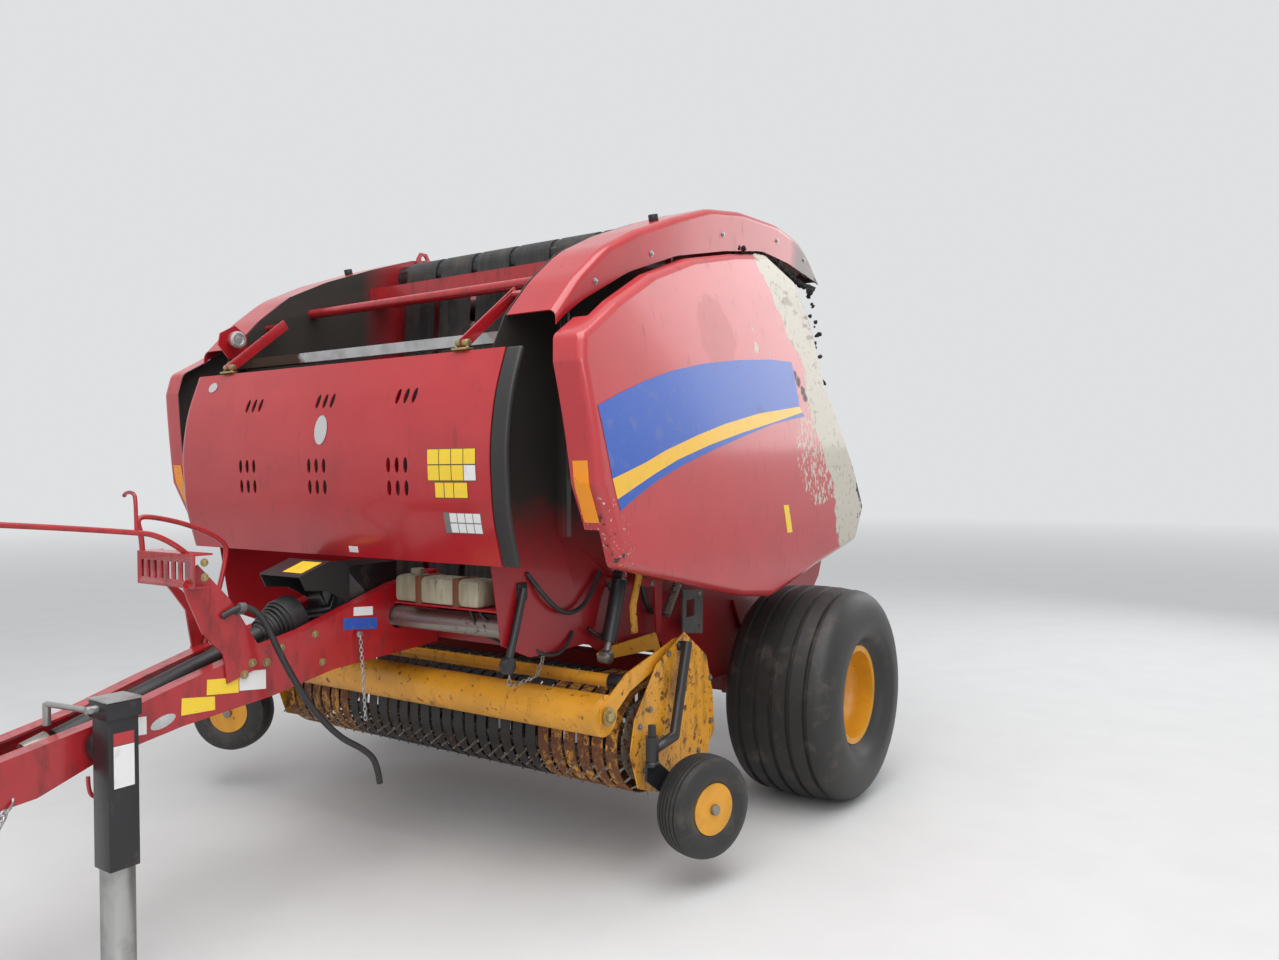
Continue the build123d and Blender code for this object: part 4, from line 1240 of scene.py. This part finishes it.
SIDE_PLATES = [
    # name, finish, x, thickness, outline as y and z
    ("lever_plate_upper", "grey", 0.852, 0.008, [
        (-0.698, 1.021), (-0.528, 1.002), (-0.529, 0.972), (-0.691, 0.972)]),
    ("lever_plate_lower", "grey", 0.852, 0.008, [
        (-0.695, 0.897), (-0.53, 0.897), (-0.53, 0.808), (-0.701, 0.833)]),
    ("lever_plate_front", "grey", 0.8521, 0.0078, [
        (-0.7, 0.98), (-0.67, 0.98), (-0.67, 0.89), (-0.7, 0.89)]),
    ("lever_plate_rear", "grey", 0.8521, 0.0078, [
        (-0.6, 0.98), (-0.529, 0.98), (-0.529, 0.89), (-0.6, 0.89)]),
    ("lever_strap", "side_yellow", 0.896, 0.008, [
        (-1.07, 1.25), (-1.07, 1.134), (-1.122, 1.008), (-1.112, 0.899), (-1.148, 0.899),
        (-1.158, 1.008), (-1.108, 1.134), (-1.108, 1.25)]),
    ("lever_arm", "frame_red", 0.846, 0.008, [
        (-1.01, 1.105), (-0.85, 1.09), (-0.866, 0.863), (-0.9, 0.863), (-0.915, 1.055), (-1.01, 1.07)]),
    ("axle_plate", "sheet_red", 0.8, 0.008, [
        (-0.15, 0.909), (0.1, 0.879), (0.1, 0.748), (-0.06, 0.748)]),
]
for name, finish, x, thickness, rows in SIDE_PLATES:
    settle(plate(side_line(x, rows), (thickness, 0, 0)), name, finish)
PINS = [
    # place, radius, length
    ((0.826, -0.56, 0.985), 0.014, 0.076), ((0.826, -0.56, 0.85), 0.014, 0.076),
    ((0.85, -1.09, 1.225), 0.014, 0.12), ((0.826, -0.93, 1.075), 0.014, 0.066),
    ((0.826, -0.94, 1.085), 0.022, 0.02),
]
pins = [drum(at(*place), (1, 0, 0), radius, length, 16, 0.002) for place, radius, length in PINS]
settle(joined(pins), "lever_pins", "steel")
spring("lever_spring", at(0.845, -0.7, 1.07), at(0.845, -0.815, 0.925), 0.017, 0.0035, 17, "steel")
posts = [rod([(0.796, y, z), (0.856, y, z)], 0.006, False) for y, z in ((-0.7, 1.07), (-0.815, 0.925))]
settle(joined(posts), "spring_posts", "steel")
strut = joined([
    box(at(0.77, -1.712, 1.085), at(0.806, -1.664, 1.15), 0.003),
    rod([(0.812, -1.692, 1.13), (0.812, -1.73, 1.01), (0.812, -1.779, 0.871)], 0.014, False),
    drum(at(0.812, -1.779, 0.871), (1, 0, 0), 0.03, 0.03, 24, 0.004),
])
settle(strut, "stand_strut", "black")
links("strut_chain", [at(0.812, -1.77, 0.862), at(0.8, -1.76, 0.8), at(0.79, -1.7, 0.79),
                      at(0.788, -1.6, 0.8), at(0.786, -1.56, 0.85), at(0.79, -1.56, 0.905)],
      0.009, "steel")
PIPES = [
    # name, radius, finish and points
    ("pipe_bent", 0.008, "black", [
        (0.822, -1.33, 0.94), (0.83, -1.29, 0.9), (0.834, -1.23, 0.905),
        (0.838, -1.19, 0.96), (0.838, -1.175, 1.06), (0.8, -1.17, 1.09)]),
    ("hose_upper", 0.007, "plastic", [
        (0.64, -1.742, 1.06), (0.66, -1.74, 1.01), (0.72, -1.7, 0.985), (0.77, -1.65, 0.93),
        (0.812, -1.56, 0.86), (0.816, -1.45, 0.88), (0.8, -1.4, 0.935)]),
    ("hose_lower", 0.006, "plastic", [
        (0.6, -1.745, 1.06), (0.615, -1.74, 0.98), (0.68, -1.69, 0.93),
        (0.74, -1.6, 0.88), (0.77, -1.52, 0.85), (0.78, -1.46, 0.88)]),
    ("hose_sheet", 0.009, "plastic", [
        (0.8, -1.66, 1.18), (0.822, -1.6, 1.1), (0.824, -1.5, 1.02),
        (0.822, -1.4, 1.01), (0.822, -1.31, 1.06), (0.812, -1.24, 1.15)]),
    ("hose_rear", 0.009, "plastic", [
        (0.8, -0.98, 1.18), (0.818, -0.96, 1.08), (0.82, -0.93, 0.98),
        (0.818, -0.86, 0.93), (0.8, -0.8, 0.935)]),
]
for name, radius, finish, points in PIPES:
    settle(rod(points, radius), name, finish)

# Conduit that hangs from its clip on the hose bracket

CONDUIT = [
    (0.158, -2.44, 1.075), (0.17, -2.4, 1.1), (0.182, -2.35, 1.098), (0.21, -2.315, 1.05),
    (0.235, -2.29, 0.96), (0.265, -2.255, 0.86), (0.3, -2.2, 0.74), (0.34, -2.12, 0.63),
    (0.37, -2.04, 0.575), (0.38, -1.99, 0.52), (0.38, -1.978, 0.44),
]
conduit = settle(pipe(CONDUIT, 0.011, steps=5, finely=12), "conduit", "plastic")
clip = joined([
    drum(at(0.176, -2.378, 1.1), (0.15, 1, -0.1), 0.016, 0.022, 24, 0.002),
    box(at(0.148, -2.39, 1.075), at(0.172, -2.366, 1.095), 0.002),
])
settle(clip, "conduit_clip", "grey")

# Decks: bolts, knobs and the charred scraps of the edge seal

for name, side in SIDES:
    side_bolts(f"deck_bolts_{name}", 1.0252, side, 0.008, [
        (-1.54, 2.215), (-1.18, 2.375), (-0.62, 2.555), (-0.1, 2.625), (0.2, 2.585)], "zinc")
    knobs = []
    for x, y, z in ((0.93, -1.02, 2.548), (0.93, -0.3, 2.672)):
        knobs.append(drum(at(side * x, y, z + 0.01), (0, -0.25, 1), 0.02, 0.03, 20, 0.004))
    settle(joined(knobs), f"deck_knobs_{name}", "plastic")

random.seed(7)


def lumps(name, rows, body="frame"):
    """Ragged charred scraps: place and size of each."""
    parts = []
    for place, size in rows:
        clear_selection()
        bpy.ops.mesh.primitive_ico_sphere_add(subdivisions=2, radius=size, location=place)
        lump = bpy.context.object
        lump.scale = (random.uniform(0.5, 1.0), random.uniform(0.6, 1.3), random.uniform(0.5, 1.2))
        lump.rotation_euler = [random.uniform(0, 3) for _ in range(3)]
        edit_mode()
        select_mesh()
        bpy.ops.transform.vertex_random(offset=size * 0.35, seed=random.randrange(1000))
        object_mode()
        parts.append(lump)
    return settle(joined(parts), name, "char", body)


rows = []
for k in range(46):
    share = k / 45
    y = -0.6 + 0.93 * share
    z = 2.497 + 0.062 * sin(pi * min(1, share * 1.25)) - 0.035 * share
    rows.append((at(1.008 + random.uniform(-0.006, 0.006), y, z), random.uniform(0.01, 0.022)))
for _ in range(9):
    place = at(0.8 + random.uniform(-0.03, 0.03), -0.05 + random.uniform(-0.05, 0.06), 2.682)
    rows.append((place, random.uniform(0.012, 0.018)))
lumps("charred_seal", rows)
disc = joined([
    drum(at(-0.7205, -1.785, 2.12), (1, 0, 0), 0.037, 0.005, 40, 0.001),
    lathe([(-0.004, 0.022), (-0.004, 0.03), (0.004, 0.03), (0.004, 0.022)],
          at(-0.7165, -1.785, 2.12), (1, 0, 0), 40),
])
settle(disc, "top_disc", "badge")
REAR_EDGE = [(-0.1, 2.455), (0.02, 2.26), (0.06, 2.08), (0.085, 1.955), (0.175, 1.81), (0.27, 1.67),
             (0.36, 1.52), (0.44, 1.37), (0.44, 1.29)]
rows = []
for (y0, z0), (y1, z1) in zip(REAR_EDGE, REAR_EDGE[1:]):
    for k in range(7):
        share = (k + random.random()) / 7
        if random.random() < 0.7:
            rows.append((at(1.15 + random.uniform(-0.01, 0.03), y0 + (y1 - y0) * share, z0 + (z1 - z0) * share),
                         random.uniform(0.008, 0.019)))
lumps("charred_edge", rows, "shield_left")

# Pickup: guard roll's end bolts, the tube's black ends and side bolts

for name, side in SIDES:
    side_bolts(f"guard_bolt_{name}", 1.0402, side, 0.022, [(-1.5, 0.665)], "gold_zinc", "windguard")
    block = drum(at(side * 0.985, -1.362, 0.757), (1, 0, 0), 0.031, 0.07, 24, 0.004)
    settle(block, f"guard_tube_end_{name}", "black", "windguard")
    side_bolts(f"pickup_side_bolts_{name}", 1.0522, side, 0.009, [
        (-1.32, 0.59), (-1.25, 0.64), (-1.29, 0.42), (-1.2, 0.33), (-0.9, 0.4),
        (-0.8, 0.5), (-0.8, 0.68), (-0.96, 0.835), (-1.12, 0.83)], "steel", "pickup")

# Rear: bolts along the gate's edge

for name, side in SIDES:
    side_bolts(f"gate_bolts_{name}", 0.7522, side, 0.01, [
        (1.075, 1.6), (1.08, 1.4), (0.88, 2.02), (0.66, 2.21), (0.96, 1.0), (0.7, 0.74)],
        "steel", "tailgate")

# Floor, light and camera

FLOOR_SIZE = 300
FADE_START, FADE_END = 6.0, 26.0
SKY_SEEN = (0.74, 0.75, 0.76, 1)
clear_selection()
bpy.ops.mesh.primitive_plane_add(size=FLOOR_SIZE, location=(0, 0, 0))
floor = bpy.context.object
floor.name = "floor"
floor_paint = Finish("floor", (0.66, 0.66, 0.65), 0.8)
floor_paint.patches(3.0, 0.4, 0.9, (0.62, 0.62, 0.61))
floor.data.materials.append(floor_paint.done())


def seen(tree):
    """1 for the rays that show a background: straight, mirrored or through glass."""
    path = tree.nodes.new("ShaderNodeLightPath")
    total = path.outputs["Is Camera Ray"]
    for name in ("Is Glossy Ray", "Is Transmission Ray"):
        joint = tree.nodes.new("ShaderNodeMath")
        joint.operation = "MAXIMUM"
        tree.links.new(total, joint.inputs[0])
        tree.links.new(path.outputs[name], joint.inputs[1])
        total = joint.outputs[0]
    return total


def glowing(tree, kind, colour, strength):
    node = tree.nodes.new(kind)
    node.inputs["Color"].default_value = colour
    node.inputs["Strength"].default_value = strength
    return node.outputs[0]


def blended(tree, share, first, second, end):
    """Shows the second shader over the first by share, at the tree's end node."""
    blend = tree.nodes.new("ShaderNodeMixShader")
    for socket, source in zip(blend.inputs, (share, first, second)):
        tree.links.new(source, socket)
    tree.links.new(blend.outputs["Shader"], tree.nodes[end].inputs["Surface"])


# The floor fades into the pale sky far from the baler
tree = floor_paint.tree
glow = glowing(tree, "ShaderNodeEmission", SKY_SEEN, 1.0)
reach = tree.nodes.new("ShaderNodeVectorMath")
reach.operation = "LENGTH"
tree.links.new(floor_paint.place, reach.inputs[0])
far = floor_paint.above(reach.outputs["Value"], FADE_START, FADE_END)
share = floor_paint.math("MULTIPLY", far, seen(tree))
blended(tree, share, floor_paint.shader.outputs["BSDF"], glow, "Material Output")

world = bpy.data.worlds.new("studio")
bpy.context.scene.world = world
world.use_nodes = True
tree = world.node_tree
light = tree.nodes["Background"]
light.inputs["Color"].default_value = (0.93, 0.95, 1.0, 1)
light.inputs["Strength"].default_value = 0.62
sky = glowing(tree, "ShaderNodeBackground", SKY_SEEN, 1.0)
blended(tree, seen(tree), light.outputs["Background"], sky, "World Output")

LIGHTS = [
    # name, place, point it faces, width, power
    ("overhead", (2.0, -2.0, 7.5), (0, 0, 0.8), 7.0, 520),
    ("front", (7.0, -6.0, 4.5), (0, 0, 1.2), 4.0, 160),
    ("rear", (3.0, 7.0, 4.0), (0, 0, 1.2), 4.0, 110),
]
for name, place, target, width, power in LIGHTS:
    lamp = bpy.data.lights.new(name, "AREA")
    lamp.size = width
    lamp.energy = power
    holder = bpy.data.objects.new(name, lamp)
    bpy.context.scene.collection.objects.link(holder)
    holder.location = place
    holder.rotation_euler = (Vector(target) - Vector(place)).to_track_quat("-Z", "Y").to_euler()

# The camera solved from the photograph
PHOTO_WIDTH, FOCAL_PIXELS, SENSOR = 1279, 977.6, 36
YAW, PITCH, ROLL = radians(-34.247), radians(-0.784), radians(-0.396)
ahead = Vector((sin(YAW) * cos(PITCH), cos(YAW) * cos(PITCH), sin(PITCH)))
level = Vector((cos(YAW), -sin(YAW), 0))
upward = level.cross(ahead)
right = cos(ROLL) * level + sin(ROLL) * upward
top = cos(ROLL) * upward - sin(ROLL) * level
camera_data = bpy.data.cameras.new("camera")
camera = bpy.data.objects.new("camera", camera_data)
bpy.context.scene.collection.objects.link(camera)
camera_data.sensor_width = SENSOR
camera_data.lens = FOCAL_PIXELS / PHOTO_WIDTH * SENSOR
eye = at(3.098, -4.316, 1.559)
camera.matrix_world = Matrix([
    (right.x, top.x, -ahead.x, eye.x),
    (right.y, top.y, -ahead.y, eye.y),
    (right.z, top.z, -ahead.z, eye.z),
    (0, 0, 0, 1),
])
bpy.context.scene.camera = camera
bpy.context.scene.view_settings.view_transform = "Standard"
